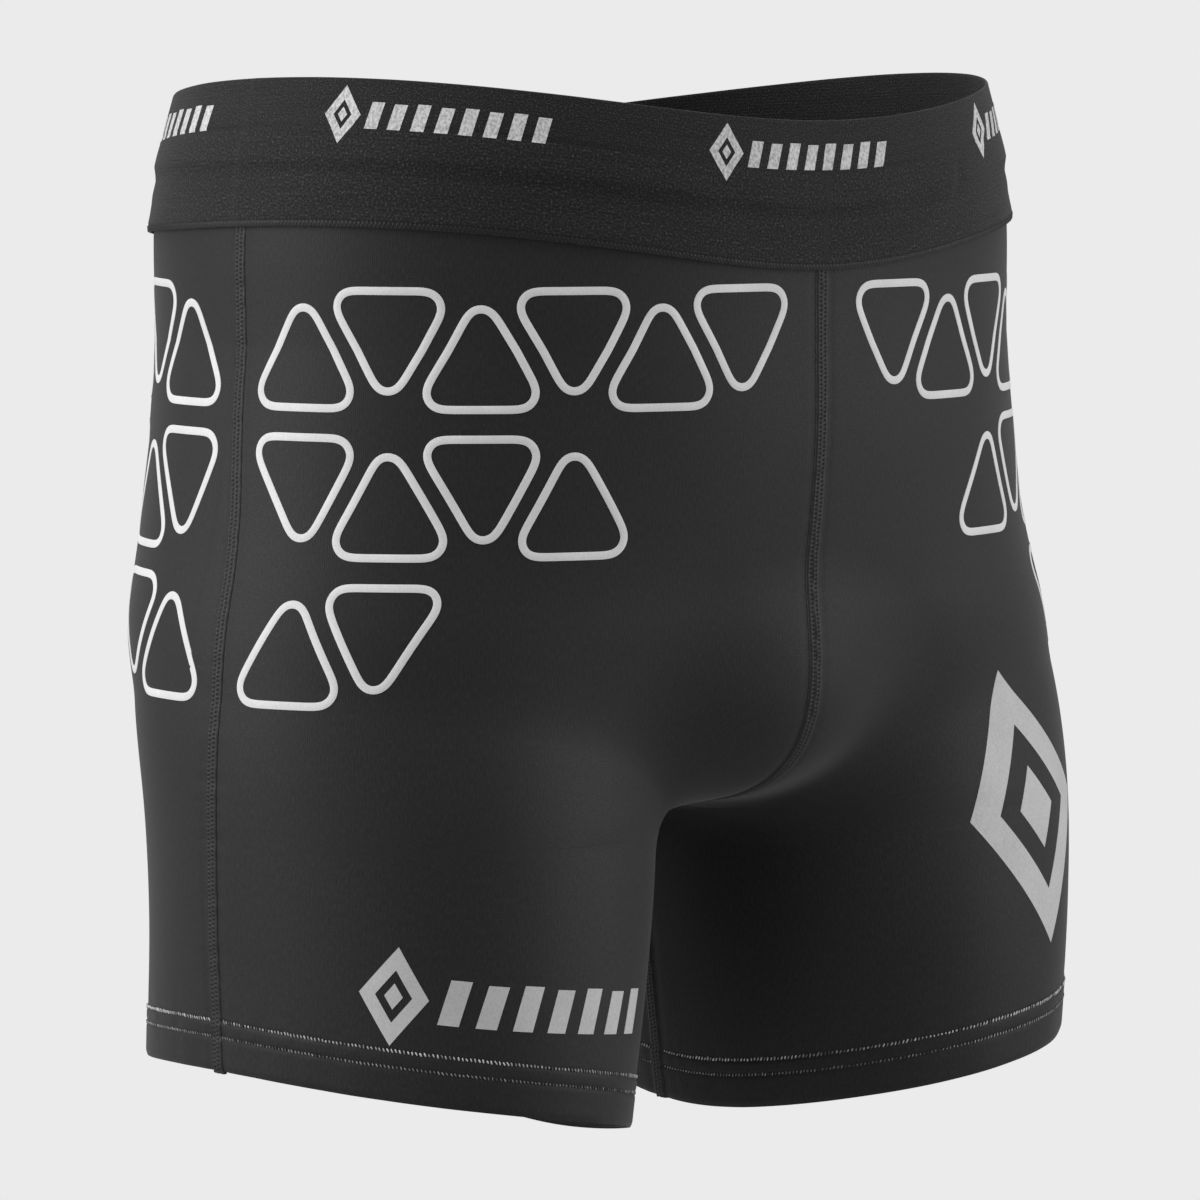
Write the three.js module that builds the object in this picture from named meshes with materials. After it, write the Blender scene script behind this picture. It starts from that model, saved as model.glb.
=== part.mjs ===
// Skin-tight knit compression shorts with a wide elastic waistband, in the shape
// they take on the wearer: four cloth panels joined by flatlock seams, turned and
// cover-stitched leg hems, and a 50 mm woven elastic band on top.
//
// Frame: +Z up, the front of the garment faces -Y, the wearer's left is +X.
// The origin is the middle of the waist opening, level with the band's top edge.
// The shape tables are in metres above the hem datum; the meshes are in millimetres.
import * as THREE from 'three';

// ---------------------------------------------------------------- dimensions
const WAIST_DATUM = 0.3420;      // m, height of the waist opening above the hem datum
const CLOTH = 0.9;               // mm, thickness of the knit
const GAP = 0.65;                // mm, clearance between a seam and the panels beside it
const SEAM_WIDTH = 6.0;          // mm, width of a flatlock seam
const SEAM_OUT = 0.3;            // mm, how far a seam stands proud of the cloth
const SEAM_IN = -1.1;            // mm, inner face of a seam
const BAND_OUT = 1.9;            // mm, outer face of the elastic above the cloth face
const BAND_IN = 0.34;            // mm, inner face of the elastic
const BAND_LAP = 8.0;            // mm, cloth tucked up behind the elastic
const BAND_BACK_HEIGHT = 0.0490; // m, height of the elastic at the back
const HEM_DEPTH = 19.0;          // mm, depth of the turned-up ply of the hem
const HEM_ROWS = [12.0, 17.6];   // mm, height of the two cover-stitch rows over the hem edge
const STITCH_WIDTH = 1.5;        // mm, width of one chain of thread
const STITCH_IN = 0.62, STITCH_OUT = 1.05;      // mm, thread rows over the cloth
const TURNUP_OUT = -1.42, TURNUP_IN = -2.12;    // mm, turned-up ply inside the leg
const LOOPER_OUT = -2.44, LOOPER_IN = -2.85;    // mm, looper thread inside the hem
const COLS = 12;                 // facets across one panel
const ROWS_LEG = 7, ROWS_BODY = 17;             // facets along a panel

// ------------------------------------------------------------ shape of the body
// Heights of the spline knots and the half-width, front depth and back depth of
// the hips; then centre and radii of each leg. All in metres.
const ZP = [0.10, 0.15, 0.19, 0.23, 0.27, 0.31, 0.35];
const HIP_HALF_WIDTH = [0.15845, 0.15682, 0.15642, 0.15738, 0.15670, 0.15545, 0.13960];
const HIP_FRONT = [0.10630, 0.11156, 0.11706, 0.12085, 0.12100, 0.12156, 0.12163];
const HIP_BACK = [0.11741, 0.11990, 0.12259, 0.12551, 0.12800, 0.12831, 0.12359];
const ZL = [0.0, 0.05, 0.10, 0.15, 0.20, 0.26];
const LEG_CX = [0.10401, 0.10259, 0.10076, 0.09584, 0.08165, 0.06587];
const LEG_CY = [-0.01157, -0.01366, -0.01182, -0.00481, -0.00036, 0.00242];
const LEG_RX = [0.07218, 0.07776, 0.08308, 0.08620, 0.08365, 0.07945];
const LEG_RF = [0.09645, 0.09635, 0.09447, 0.09084, 0.08304, 0.07535];
const LEG_RB = [0.09752, 0.09319, 0.09057, 0.09033, 0.08489, 0.07886];
const HIP_FLOOR = 0.09097, HIP_CAP = 0.07806;   // rounded lower end of the hip form
const BRIDGE = 0.24;             // share of the half-width kept at the floor, between the thighs
const HIP_POWER = 2.35, LEG_POWER = 2.15;       // squareness of the sections
const BLEND_LEG = 0.035, BLEND_FRONT = 0.03;    // fillets between the forms
const BULGE = [0.04491, -0.06674, 0.13518, 0.04836, 0.03538]; // rx, y, z, ry, rz
const BAND_TOP = [0.34279, 0.00355, -0.00858, -0.00088];      // cosine series round the body
const BAND_BOTTOM = [0.29653, -0.00357, -0.00413, -0.00338];
const HEM = [-0.00318, -0.00077, -0.01638, 0.00191, 0.00020]; // series round the leg
const HEM_RISE = 0.0031, HEM_RISE_AT = 2.18;    // the hem sits higher behind the inner thigh
const ZS = [0.0, 0.06, 0.12, 0.18, 0.24, 0.30];
const SIDE_SEAM_Y = [-0.00716, -0.00965, -0.01397, -0.01268, -0.00407, -0.00199];

// ------------------------------------------------------------- small numerics
const clamp = (v, a, b) => Math.min(b, Math.max(a, v));
const smooth = (t) => { t = clamp(t, 0, 1); return t * t * (3 - 2 * t); };

function naturalSpline(k, v) {
  const n = k.length, h = [], al = [], l = [1], mu = [0], q = [0];
  for (let i = 0; i < n - 1; i++) h.push(k[i + 1] - k[i]);
  for (let i = 1; i < n - 1; i++) al[i] = 3 * ((v[i + 1] - v[i]) / h[i] - (v[i] - v[i - 1]) / h[i - 1]);
  for (let i = 1; i < n - 1; i++) {
    l[i] = 2 * (k[i + 1] - k[i - 1]) - h[i - 1] * mu[i - 1];
    mu[i] = h[i] / l[i];
    q[i] = (al[i] - h[i - 1] * q[i - 1]) / l[i];
  }
  const c = new Array(n).fill(0), b = [], d = [];
  for (let j = n - 2; j >= 0; j--) {
    c[j] = q[j] - mu[j] * c[j + 1];
    b[j] = (v[j + 1] - v[j]) / h[j] - h[j] * (c[j + 1] + 2 * c[j]) / 3;
    d[j] = (c[j + 1] - c[j]) / (3 * h[j]);
  }
  return (x) => {
    let i = 0;
    while (i < n - 2 && x > k[i + 1]) i++;
    const t = x - k[i];
    return v[i] + t * (b[i] + t * (c[i] + t * d[i]));
  };
}
const hipA = naturalSpline(ZP, HIP_HALF_WIDTH), hipF = naturalSpline(ZP, HIP_FRONT), hipB = naturalSpline(ZP, HIP_BACK);
const legCx = naturalSpline(ZL, LEG_CX), legCy = naturalSpline(ZL, LEG_CY), legRx = naturalSpline(ZL, LEG_RX);
const legRf = naturalSpline(ZL, LEG_RF), legRb = naturalSpline(ZL, LEG_RB);
const sideY = naturalSpline(ZS, SIDE_SEAM_Y);

// Signed field of the outer cloth face: negative inside the garment.
function field(x, y, z) {
  const t = clamp((z - HIP_FLOOR) / HIP_CAP, 1e-4, 1), e = Math.sqrt(1 - (1 - t) * (1 - t));
  const w = 1 - smooth(e / 0.62), a = hipA(z) * ((0.30 + 0.70 * e) * e + BRIDGE * w), dep = y < 0 ? hipF(z) : hipB(z);
  const qh = Math.pow(Math.pow(Math.abs(x) / (a + 1e-6), HIP_POWER) + Math.pow(Math.abs(y) / (dep * e + 1e-6), HIP_POWER), 1 / HIP_POWER);
  let hip = (qh - 1) * Math.min(a, dep * e);
  if (qh > 1) hip = Math.max(hip, w * Math.hypot(x, y) * (1 - 1 / qh));
  if (z < HIP_FLOOR) hip = Math.max(hip, 0) + (HIP_FLOOR - z);
  const zz = Math.min(z, 0.26), rx = legRx(zz), cy = legCy(zz), yy = y - cy, ry = yy < 0 ? legRf(zz) : legRb(zz);
  const ql = Math.pow(Math.pow(Math.abs(Math.abs(x) - legCx(zz)) / rx, LEG_POWER) + Math.pow(Math.abs(yy) / ry, LEG_POWER), 1 / LEG_POWER);
  const leg = (ql - 1) * Math.min(rx, ry);
  let h = clamp(0.5 + 0.5 * (leg - hip) / BLEND_LEG, 0, 1);
  const body = leg * (1 - h) + hip * h - BLEND_LEG * h * (1 - h);
  const [bx, by, bz, bry, brz] = BULGE;
  const qb = Math.hypot(x / bx, (y - by) / bry, (z - bz) / brz);
  const bulge = (qb - 1) * Math.min(bx, bry, brz);
  h = clamp(0.5 + 0.5 * (bulge - body) / BLEND_FRONT, 0, 1);
  return bulge * (1 - h) + body * h - BLEND_FRONT * h * (1 - h);
}
function gradient(x, y, z) {
  const d = 1e-5;
  const g = new THREE.Vector3(
    field(x + d, y, z) - field(x - d, y, z),
    field(x, y + d, z) - field(x, y - d, z),
    field(x, y, z + d) - field(x, y, z - d));
  return g.normalize();
}

// Lowest point of the middle section: the crotch.
let CROTCH_Z = 0.2, CROTCH_Y = 0;
{
  let lo = 0.05, hi = 0.2;
  for (let i = 0; i < 26; i++) {
    const m = (lo + hi) / 2;
    let best = 1, at = 0;
    for (let k = 0; k <= 60; k++) {
      const y = -0.06 + 0.002 * k, v = field(0, y, m);
      if (v < best) { best = v; at = y; }
    }
    if (best < 0) { hi = m; CROTCH_Y = at; } else lo = m;
  }
  CROTCH_Z = hi;
}
function middleY(z, sign) {      // where the mirror plane meets the front (-1) or back (+1)
  if (z <= CROTCH_Z) return CROTCH_Y;
  let lo = 0, hi = 0.2;
  for (let i = 0; i < 34; i++) {
    const m = (lo + hi) / 2;
    if (field(0, CROTCH_Y + sign * m, z) < 0) lo = m; else hi = m;
  }
  return CROTCH_Y + sign * (lo + hi) / 2;
}
// Point of the right half at height z. u runs from the front middle (the inseam,
// below the crotch) over the front, the side and the back to the back middle.
function surface(u, z) {
  const t = clamp((z - 0.10) / 0.18, 0, 1), zo = Math.min(z, 0.12);
  const ox = legCx(zo) * (1 - t) + 0.062 * t, oy = CROTCH_Y;
  const yf = middleY(z, -1), yb = middleY(z, 1);
  const aF = Math.atan2(ox, -(yf - oy)), aB = Math.atan2(ox, -(yb - oy)) - 2 * Math.PI;
  const a = aF + (aB - aF) * u, dx = Math.sin(a), dy = -Math.cos(a);
  let lo = 0, hi = 0.26;
  for (let i = 0; i < 34; i++) {
    const m = (lo + hi) / 2, x = -ox + dx * m;
    if (x < 1e-9 && field(x, oy + dy * m, z) < 0) lo = m; else hi = m;
  }
  const r = (lo + hi) / 2;
  const x = Math.min(-ox + dx * r, 0), y = oy + dy * r;
  return { x, y, z, al: Math.atan2(x + ox, -(y - legCy(zo) * (1 - t))) };   // al: turn round the leg
}
const series = (c, a) => c.reduce((s, v, i) => s + v * Math.cos(i * a), 0);
function bandTop(az) { return series(BAND_TOP, az); }
function bandBottom(az) {
  const w = smooth((Math.abs(az) - 100 * Math.PI / 180) / (60 * Math.PI / 180));
  return series(BAND_BOTTOM, az) * (1 - w) + (bandTop(az) - BAND_BACK_HEIGHT) * w;
}
function hemHeight(a) {
  const rise = HEM_RISE * Math.exp(2.3 * (Math.cos(a - HEM_RISE_AT) - 1));
  return HEM[0] + HEM[1] * Math.cos(a) + HEM[2] * Math.sin(a) + HEM[3] * Math.cos(2 * a) + HEM[4] * Math.sin(2 * a) + rise;
}

// ---------------------------------------------------------- seam and column lines
const cache = new Map();
function memo(name, z, f) {
  const key = name + z.toFixed(7);
  if (!cache.has(key)) cache.set(key, f());
  return cache.get(key);
}
const dist = (a, b) => Math.hypot(a.x - b.x, a.y - b.y, a.z - b.z);
const sideU = (z) => memo('s', z, () => {       // u of the side seam
  let lo = 0.3, hi = 0.75;
  const y = sideY(clamp(z, 0, 0.30));
  for (let i = 0; i < 30; i++) {
    const m = (lo + hi) / 2;
    if (surface(m, z).y < y) lo = m; else hi = m;
  }
  return (lo + hi) / 2;
});
function stepU(u, z, mm, dir) {                 // u at an arc length from a seam line
  const p = surface(u, z);
  let lo = 0, hi = 0.2;
  for (let i = 0; i < 24; i++) {
    const m = (lo + hi) / 2;
    if (dist(surface(u + dir * m, z), p) < mm / 1000) lo = m; else hi = m;
  }
  return u + dir * (lo + hi) / 2;
}
const HALF = SEAM_WIDTH / 2;
const panelFrontStart = (z) => memo('a', z, () => stepU(0, z, HALF + GAP, 1));
const panelFrontEnd = (z) => memo('b', z, () => stepU(sideU(z), z, HALF + GAP, -1));
const panelBackStart = (z) => memo('c', z, () => stepU(sideU(z), z, HALF + GAP, 1));
const panelBackEnd = (z) => memo('d', z, () => stepU(1, z, HALF + GAP, -1));
const lerp = (a, b, t) => a + (b - a) * t;
const frontU = (s) => (z) => lerp(panelFrontStart(z), panelFrontEnd(z), s);
const backU = (s) => (z) => lerp(panelBackStart(z), panelBackEnd(z), s);

function azimuth(p) { return Math.atan2(p.x, -p.y); }
function hemZ(uf) { let z = 0; for (let i = 0; i < 5; i++) z = hemHeight(surface(uf(z), z).al); return z; }
function bottomZ(uf) { let z = 0.3; for (let i = 0; i < 5; i++) z = bandBottom(azimuth(surface(uf(z), z))); return z; }
function topZ(uf) { let z = 0.34; for (let i = 0; i < 5; i++) z = bandTop(azimuth(surface(uf(z), z))); return z; }

// A point at height z on column uf, moved `off` mm along the outward normal.
function at(uf, z, off, side) {
  const p = surface(uf(z), z), g = gradient(Math.min(p.x, -1e-6), p.y, p.z);
  if (p.x > -1e-7) g.x = 0;
  g.normalize();
  return new THREE.Vector3(-side * (p.x * 1000 + g.x * off), p.y * 1000 + g.y * off, (p.z - WAIST_DATUM) * 1000 + g.z * off);
}
const RIGHT = -1, LEFT = 1;

// --------------------------------------------------------------- mesh building
// outer[r][c] and inner[r][c] are the two faces; a closed shell joins the last
// column to the first.
function shell(outer, inner, closed) {
  const R = outer.length, C = outer[0].length, pos = [], idx = [];
  for (const g of [outer, inner]) for (const row of g) for (const v of row) pos.push(v.x, v.y, v.z);
  const o = (r, c) => r * C + (c % C), n = (r, c) => R * C + r * C + (c % C);
  const quad = (a, b, c, d) => idx.push(a, b, c, a, c, d);
  const last = closed ? C : C - 1;
  for (let r = 0; r < R - 1; r++) for (let c = 0; c < last; c++) {
    quad(o(r, c), o(r, c + 1), o(r + 1, c + 1), o(r + 1, c));
    quad(n(r, c), n(r + 1, c), n(r + 1, c + 1), n(r, c + 1));
  }
  for (let c = 0; c < last; c++) {
    quad(o(0, c), n(0, c), n(0, c + 1), o(0, c + 1));
    quad(o(R - 1, c), o(R - 1, c + 1), n(R - 1, c + 1), n(R - 1, c));
  }
  if (!closed) for (let r = 0; r < R - 1; r++) {
    quad(o(r, 0), o(r + 1, 0), n(r + 1, 0), n(r, 0));
    quad(o(r, C - 1), n(r, C - 1), n(r + 1, C - 1), o(r + 1, C - 1));
  }
  let vol = 0;
  for (let i = 0; i < idx.length; i += 3) {
    const [a, b, c] = [idx[i], idx[i + 1], idx[i + 2]].map((k) => new THREE.Vector3(pos[3 * k], pos[3 * k + 1], pos[3 * k + 2]));
    vol += a.dot(b.clone().cross(c)) / 6;
  }
  if (vol < 0) for (let i = 0; i < idx.length; i += 3) [idx[i + 1], idx[i + 2]] = [idx[i + 2], idx[i + 1]];
  const g = new THREE.BufferGeometry();
  g.setAttribute('position', new THREE.Float32BufferAttribute(pos, 3));
  g.setIndex(idx);
  g.computeVertexNormals();
  return g;
}

const cloth = new THREE.MeshStandardMaterial({ name: 'cloth', color: 0x35363a, roughness: 0.9, metalness: 0 });
const elastic = new THREE.MeshStandardMaterial({ name: 'elastic', color: 0x2b2c2f, roughness: 0.85, metalness: 0 });
const thread = new THREE.MeshStandardMaterial({ name: 'thread', color: 0x1d1d1f, roughness: 0.6, metalness: 0 });
const shorts = new THREE.Group();
function add(name, geometry, material) {
  const m = new THREE.Mesh(geometry, material);
  m.name = name;
  shorts.add(m);
}

// Height shares of the rows between crotch and band, at equal steps along the
// middle line of the front (-1) or back (+1), which runs almost level at first.
function middleShares(sign) {
  const u0 = sign < 0 ? () => 0 : () => 1, zt = bottomZ(u0) + BAND_LAP / 1000, pts = [[CROTCH_Y, CROTCH_Z, 0]];
  for (let i = 1; i <= 600; i++) {
    const z = lerp(CROTCH_Z, zt, Math.pow(i / 600, 2.2)), y = middleY(z, sign), q = pts[pts.length - 1];
    pts.push([y, z, q[2] + Math.hypot(y - q[0], z - q[1])]);
  }
  const total = pts[600][2], out = [];
  for (let i = 0; i <= ROWS_BODY; i++) {
    const want = total * i / ROWS_BODY;
    let k = 1;
    while (k < 600 && pts[k][2] < want) k++;
    const [a, b] = [pts[k - 1], pts[k]], f = clamp((want - a[2]) / (b[2] - a[2]), 0, 1);
    out.push((lerp(a[1], b[1], f) - CROTCH_Z) / (zt - CROTCH_Z));
  }
  return out;
}
const SHARES = { '-1': middleShares(-1), '1': middleShares(1) };
// Heights of the rows of one panel column: hem to crotch, crotch to band.
function panelRows(uf, topOver, sign) {
  const zh = hemZ(uf), zt = bottomZ(uf) + topOver / 1000, rows = [];
  for (let i = 0; i < ROWS_LEG; i++) rows.push(lerp(zh, CROTCH_Z, 1 - Math.pow(1 - i / ROWS_LEG, 1.4)));
  for (const s of SHARES[sign]) rows.push(lerp(CROTCH_Z, zt, s));
  return rows;
}
function panel(side, uOf, sign) {
  const cols = [];
  for (let c = 0; c <= COLS; c++) cols.push(uOf(c / COLS));
  const zs = cols.map((uf) => panelRows(uf, BAND_LAP, sign));
  const face = (off) => zs[0].map((_, r) => cols.map((uf, c) => at(uf, zs[c][r], off, side)));
  return shell(face(0), face(-CLOTH), false);
}
add('front_panel_right', panel(RIGHT, frontU, -1), cloth);
add('front_panel_left', panel(LEFT, frontU, -1), cloth);
add('back_panel_right', panel(RIGHT, backU, 1), cloth);
add('back_panel_left', panel(LEFT, backU, 1), cloth);

// Side seams: a band 6 mm wide lying between the two panels.
function sideSeam(side) {
  const mid = sideU, lo = (z) => stepU(sideU(z), z, HALF, -1), hi = (z) => stepU(sideU(z), z, HALF, 1);
  const cols = [lo, mid, hi], zs = cols.map((uf) => panelRows(uf, -0.9, -1));
  const face = (off) => zs[0].map((_, r) => cols.map((uf, c) => at(uf, zs[c][r], off, side)));
  return shell(face(SEAM_OUT), face(SEAM_IN), false);
}
add('side_seam_right', sideSeam(RIGHT), thread);
add('side_seam_left', sideSeam(LEFT), thread);

// Centre seams: from the inseam up the middle of the front and of the back.
function centreSeam(u0, dir, sign) {
  const edge = (z) => stepU(u0, z, HALF, dir), mid = () => u0;
  const beside = sign < 0 ? frontU(0) : backU(1);
  const zt = bottomZ(mid) - 0.0009;
  let z0 = CROTCH_Z;                            // start clear of the inseam
  while (Math.abs(surface(u0, z0).y - CROTCH_Y) < (HALF + 3 * GAP + 1.2) / 1000) z0 += 0.00001;
  const rows = [z0, ...panelRows(beside, BAND_LAP, sign).filter((z) => z > z0 + 0.0004 && z < zt - 0.001), zt];
  const face = (off) => rows.map((z) => [at(edge, z, off, RIGHT), at(mid, z, off, RIGHT), at(edge, z, off, LEFT)]);
  return shell(face(SEAM_OUT), face(SEAM_IN), false);
}
add('centre_front_seam', centreSeam(0, 1, -1), thread);
add('centre_back_seam', centreSeam(1, -1, 1), thread);

// Inseam: one seam from the right hem through the crotch to the left hem.
{
  const f = (z) => stepU(0, z, HALF, 1), m = () => 0, b = (z) => stepU(1, z, HALF, -1);
  const cols = [f, m, b], zs = cols.map((uf) => panelRows(uf, 0, -1).slice(0, ROWS_LEG));
  const leg = (off, side) => zs[0].map((_, r) => cols.map((uf, c) => at(uf, zs[c][r], off, side)));
  // the seam narrows a little where the centre seams meet it
  const nf = (z) => stepU(0, z, HALF - 1.0, 1), nb = (z) => stepU(1, z, HALF - 1.0, -1);
  const near = (off, side) => [nf, m, nb].map((uf) => at(uf, CROTCH_Z - 0.0012, off, side));
  const middle = (off) => [1 - HALF, 0, HALF - 1].map((dy) => {
    const y = CROTCH_Y + dy / 1000;
    let lo = CROTCH_Z - 0.01, hi = CROTCH_Z + 0.02;
    for (let i = 0; i < 40; i++) { const z = (lo + hi) / 2; if (field(0, y, z) < 0) hi = z; else lo = z; }
    return new THREE.Vector3(0, y * 1000, ((lo + hi) / 2 - WAIST_DATUM) * 1000 - off);
  });
  const face = (off) => [...leg(off, RIGHT), near(off, RIGHT), middle(off), near(off, LEFT), ...leg(off, LEFT).reverse()];
  add('inseam', shell(face(SEAM_OUT), face(SEAM_IN), false), thread);
}

// ------------------------------------------------------------- rings round a leg
const legCols = [() => 0];
for (let c = 0; c <= COLS; c++) legCols.push(frontU(c / COLS));
legCols.push(sideU);
for (let c = 0; c <= COLS; c++) legCols.push(backU(c / COLS));
function legRing(side, z0, z1, outer, inner, steps = 1) {
  const zh = legCols.map(hemZ), rows = [];
  for (let i = 0; i <= steps; i++) rows.push(lerp(z0, z1, i / steps) / 1000);
  const face = (off) => rows.map((dz) => legCols.map((uf, c) => at(uf, zh[c] + dz, off, side)));
  return shell(face(outer), face(inner), true);
}
for (const [word, side] of [['right', RIGHT], ['left', LEFT]]) {
  add(`hem_turnup_${word}`, legRing(side, 0.4, HEM_DEPTH, TURNUP_OUT, TURNUP_IN, 2), cloth);
  add(`hem_stitch_lower_${word}`, legRing(side, HEM_ROWS[0] - STITCH_WIDTH / 2, HEM_ROWS[0] + STITCH_WIDTH / 2, STITCH_OUT, STITCH_IN), thread);
  add(`hem_stitch_upper_${word}`, legRing(side, HEM_ROWS[1] - STITCH_WIDTH / 2, HEM_ROWS[1] + STITCH_WIDTH / 2, STITCH_OUT, STITCH_IN), thread);
  add(`hem_stitch_inner_${word}`, legRing(side, HEM_ROWS[0] - 1.0, HEM_ROWS[1] + 1.2, LOOPER_OUT, LOOPER_IN), thread);
}

// -------------------------------------------------------------- waistband rings
const bodyHalf = [() => 0];
for (let c = 0; c <= COLS; c++) bodyHalf.push(frontU(c / COLS));
bodyHalf.push(sideU);
for (let c = 0; c <= COLS; c++) bodyHalf.push(backU(c / COLS));
bodyHalf.push(() => 1);
// rows: [share of the band height, mm added to the height, outer mm, inner mm]
function bodyRing(rows) {
  const n = bodyHalf.length, zb = bodyHalf.map(bottomZ), zt = bodyHalf.map(topZ);
  const face = (k) => rows.map(([s, dz, ...off]) => {
    const right = bodyHalf.map((uf, c) => at(uf, lerp(zb[c], zt[c], s) + dz / 1000, off[k], RIGHT));
    const left = bodyHalf.map((uf, c) => at(uf, lerp(zb[c], zt[c], s) + dz / 1000, off[k], LEFT));
    return [...right, ...left.slice(1, n - 1).reverse()];
  });
  return shell(face(0), face(1), true);
}
add('waistband_elastic', bodyRing([
  [0, 0, BAND_OUT, BAND_IN], [0.33, 0, BAND_OUT + 0.3, BAND_IN + 0.1], [0.55, 0, BAND_OUT - 0.2, BAND_IN],
  [0.78, 0, BAND_OUT + 0.3, BAND_IN], [1, 0, BAND_OUT, BAND_IN],
]), elastic);
add('waistband_stitch_outer', bodyRing([[0, 0.8, BAND_OUT + 0.85, BAND_OUT + 0.38], [0, 2.2, BAND_OUT + 0.85, BAND_OUT + 0.38]]), thread);
add('waistband_stitch_inner', bodyRing([[0, 0.8, -CLOTH - 0.34, -CLOTH - 0.75], [0, 6.6, -CLOTH - 0.34, -CLOTH - 0.75]]), thread);

// Bar of zigzag thread over the joined ends of the elastic, at the back middle.
{
  const edge = (z) => stepU(1, z, 2.6, -1), mid = () => 1, rows = [];
  const z0 = bottomZ(mid) + 0.0032, z1 = topZ(mid) - 0.0012;
  for (let i = 0; i <= 4; i++) rows.push(lerp(z0, z1, i / 4));
  const face = (off) => rows.map((z) => [at(edge, z, off, RIGHT), at(mid, z, off, RIGHT), at(edge, z, off, LEFT)]);
  add('waistband_join_stitch', shell(face(BAND_OUT + 1.15), face(BAND_OUT + 0.65), false), thread);
}

export default shorts;
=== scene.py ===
import math
import bpy
import numpy as np
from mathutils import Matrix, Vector


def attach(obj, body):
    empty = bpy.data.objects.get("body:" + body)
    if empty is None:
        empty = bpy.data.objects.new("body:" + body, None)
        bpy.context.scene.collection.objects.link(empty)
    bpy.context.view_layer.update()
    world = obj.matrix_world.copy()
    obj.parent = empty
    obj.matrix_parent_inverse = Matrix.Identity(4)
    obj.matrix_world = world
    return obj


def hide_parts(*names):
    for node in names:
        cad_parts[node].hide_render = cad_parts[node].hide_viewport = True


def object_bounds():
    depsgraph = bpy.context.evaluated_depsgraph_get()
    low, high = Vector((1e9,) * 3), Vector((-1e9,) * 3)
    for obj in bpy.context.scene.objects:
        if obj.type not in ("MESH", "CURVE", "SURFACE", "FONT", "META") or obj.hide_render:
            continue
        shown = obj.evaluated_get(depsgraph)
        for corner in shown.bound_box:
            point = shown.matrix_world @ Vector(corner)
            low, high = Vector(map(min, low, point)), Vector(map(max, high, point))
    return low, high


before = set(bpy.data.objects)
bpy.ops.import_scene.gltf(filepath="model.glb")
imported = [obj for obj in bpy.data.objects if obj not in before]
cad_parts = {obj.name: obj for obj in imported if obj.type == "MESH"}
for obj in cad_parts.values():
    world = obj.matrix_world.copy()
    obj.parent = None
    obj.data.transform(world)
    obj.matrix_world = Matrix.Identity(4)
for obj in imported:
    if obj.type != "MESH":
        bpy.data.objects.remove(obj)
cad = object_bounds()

# Printed compression shorts as worn: four knit panels, flatlock seams, a turned and
# coverstitched hem on each leg and a wide elastic waistband. Metres, row frame.
BACKDROP = 1.0        # brightness of the plain room
AMBIENT = 0.40        # even studio light from all round
MARK_S0, MARK_REPEAT, MARK_H0 = 52.0, 141.0, -22.4   # woven ornaments: mm round the band, and up it from its top edge
LAMPS = [
    # name, right, up, back (m from the middle of the piece), width, watts, height
    ("key_left", -2.0, 0.6, 0.6, 1.2, 30, 1.8),
    ("key_right", 2.3, 0.5, 0.2, 1.0, 21, 1.8),
    ("top", -0.3, 2.2, 0.9, 1.6, 11, 1.6),
]

# ------------------------------------------------------------------ the form
# The worn shape, as in the CAD model: heights Z are metres above the hem datum,
# and the row frame is DATUM lower. The right half has x < 0.
DATUM = 0.3420
ZP = [0.10, 0.15, 0.19, 0.23, 0.27, 0.31, 0.35]
HIP_A = [0.15845, 0.15682, 0.15642, 0.15738, 0.15670, 0.15545, 0.13960]
HIP_F = [0.10630, 0.11156, 0.11706, 0.12085, 0.12100, 0.12156, 0.12163]
HIP_B = [0.11741, 0.11990, 0.12259, 0.12551, 0.12800, 0.12831, 0.12359]
ZL = [0.0, 0.05, 0.10, 0.15, 0.20, 0.26]
LEG_CX = [0.10401, 0.10259, 0.10076, 0.09584, 0.08165, 0.06587]
LEG_CY = [-0.01157, -0.01366, -0.01182, -0.00481, -0.00036, 0.00242]
LEG_RX = [0.07218, 0.07776, 0.08308, 0.08620, 0.08365, 0.07945]
LEG_RF = [0.09645, 0.09635, 0.09447, 0.09084, 0.08304, 0.07535]
LEG_RB = [0.09752, 0.09319, 0.09057, 0.09033, 0.08489, 0.07886]
FLOOR, CAP, BRIDGE = 0.09097, 0.07806, 0.24
NH, NL, KL, KF = 2.35, 2.15, 0.035, 0.03
BULGE = (0.04491, -0.06674, 0.13518, 0.04836, 0.03538)
BAND_TOP = (0.34279, 0.00355, -0.00858, -0.00088)
BAND_LOW = (0.29653, -0.00357, -0.00413, -0.00338)
BAND_BACK = 0.0490
HEM = (-0.00318, -0.00077, -0.01638, 0.00191, 0.00020)
HEM_RISE, HEM_RISE_AT = 0.0031, 2.18
ZS = [0.0, 0.06, 0.12, 0.18, 0.24, 0.30]
SIDE_Y = [-0.00716, -0.00965, -0.01397, -0.01268, -0.00407, -0.00199]


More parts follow.
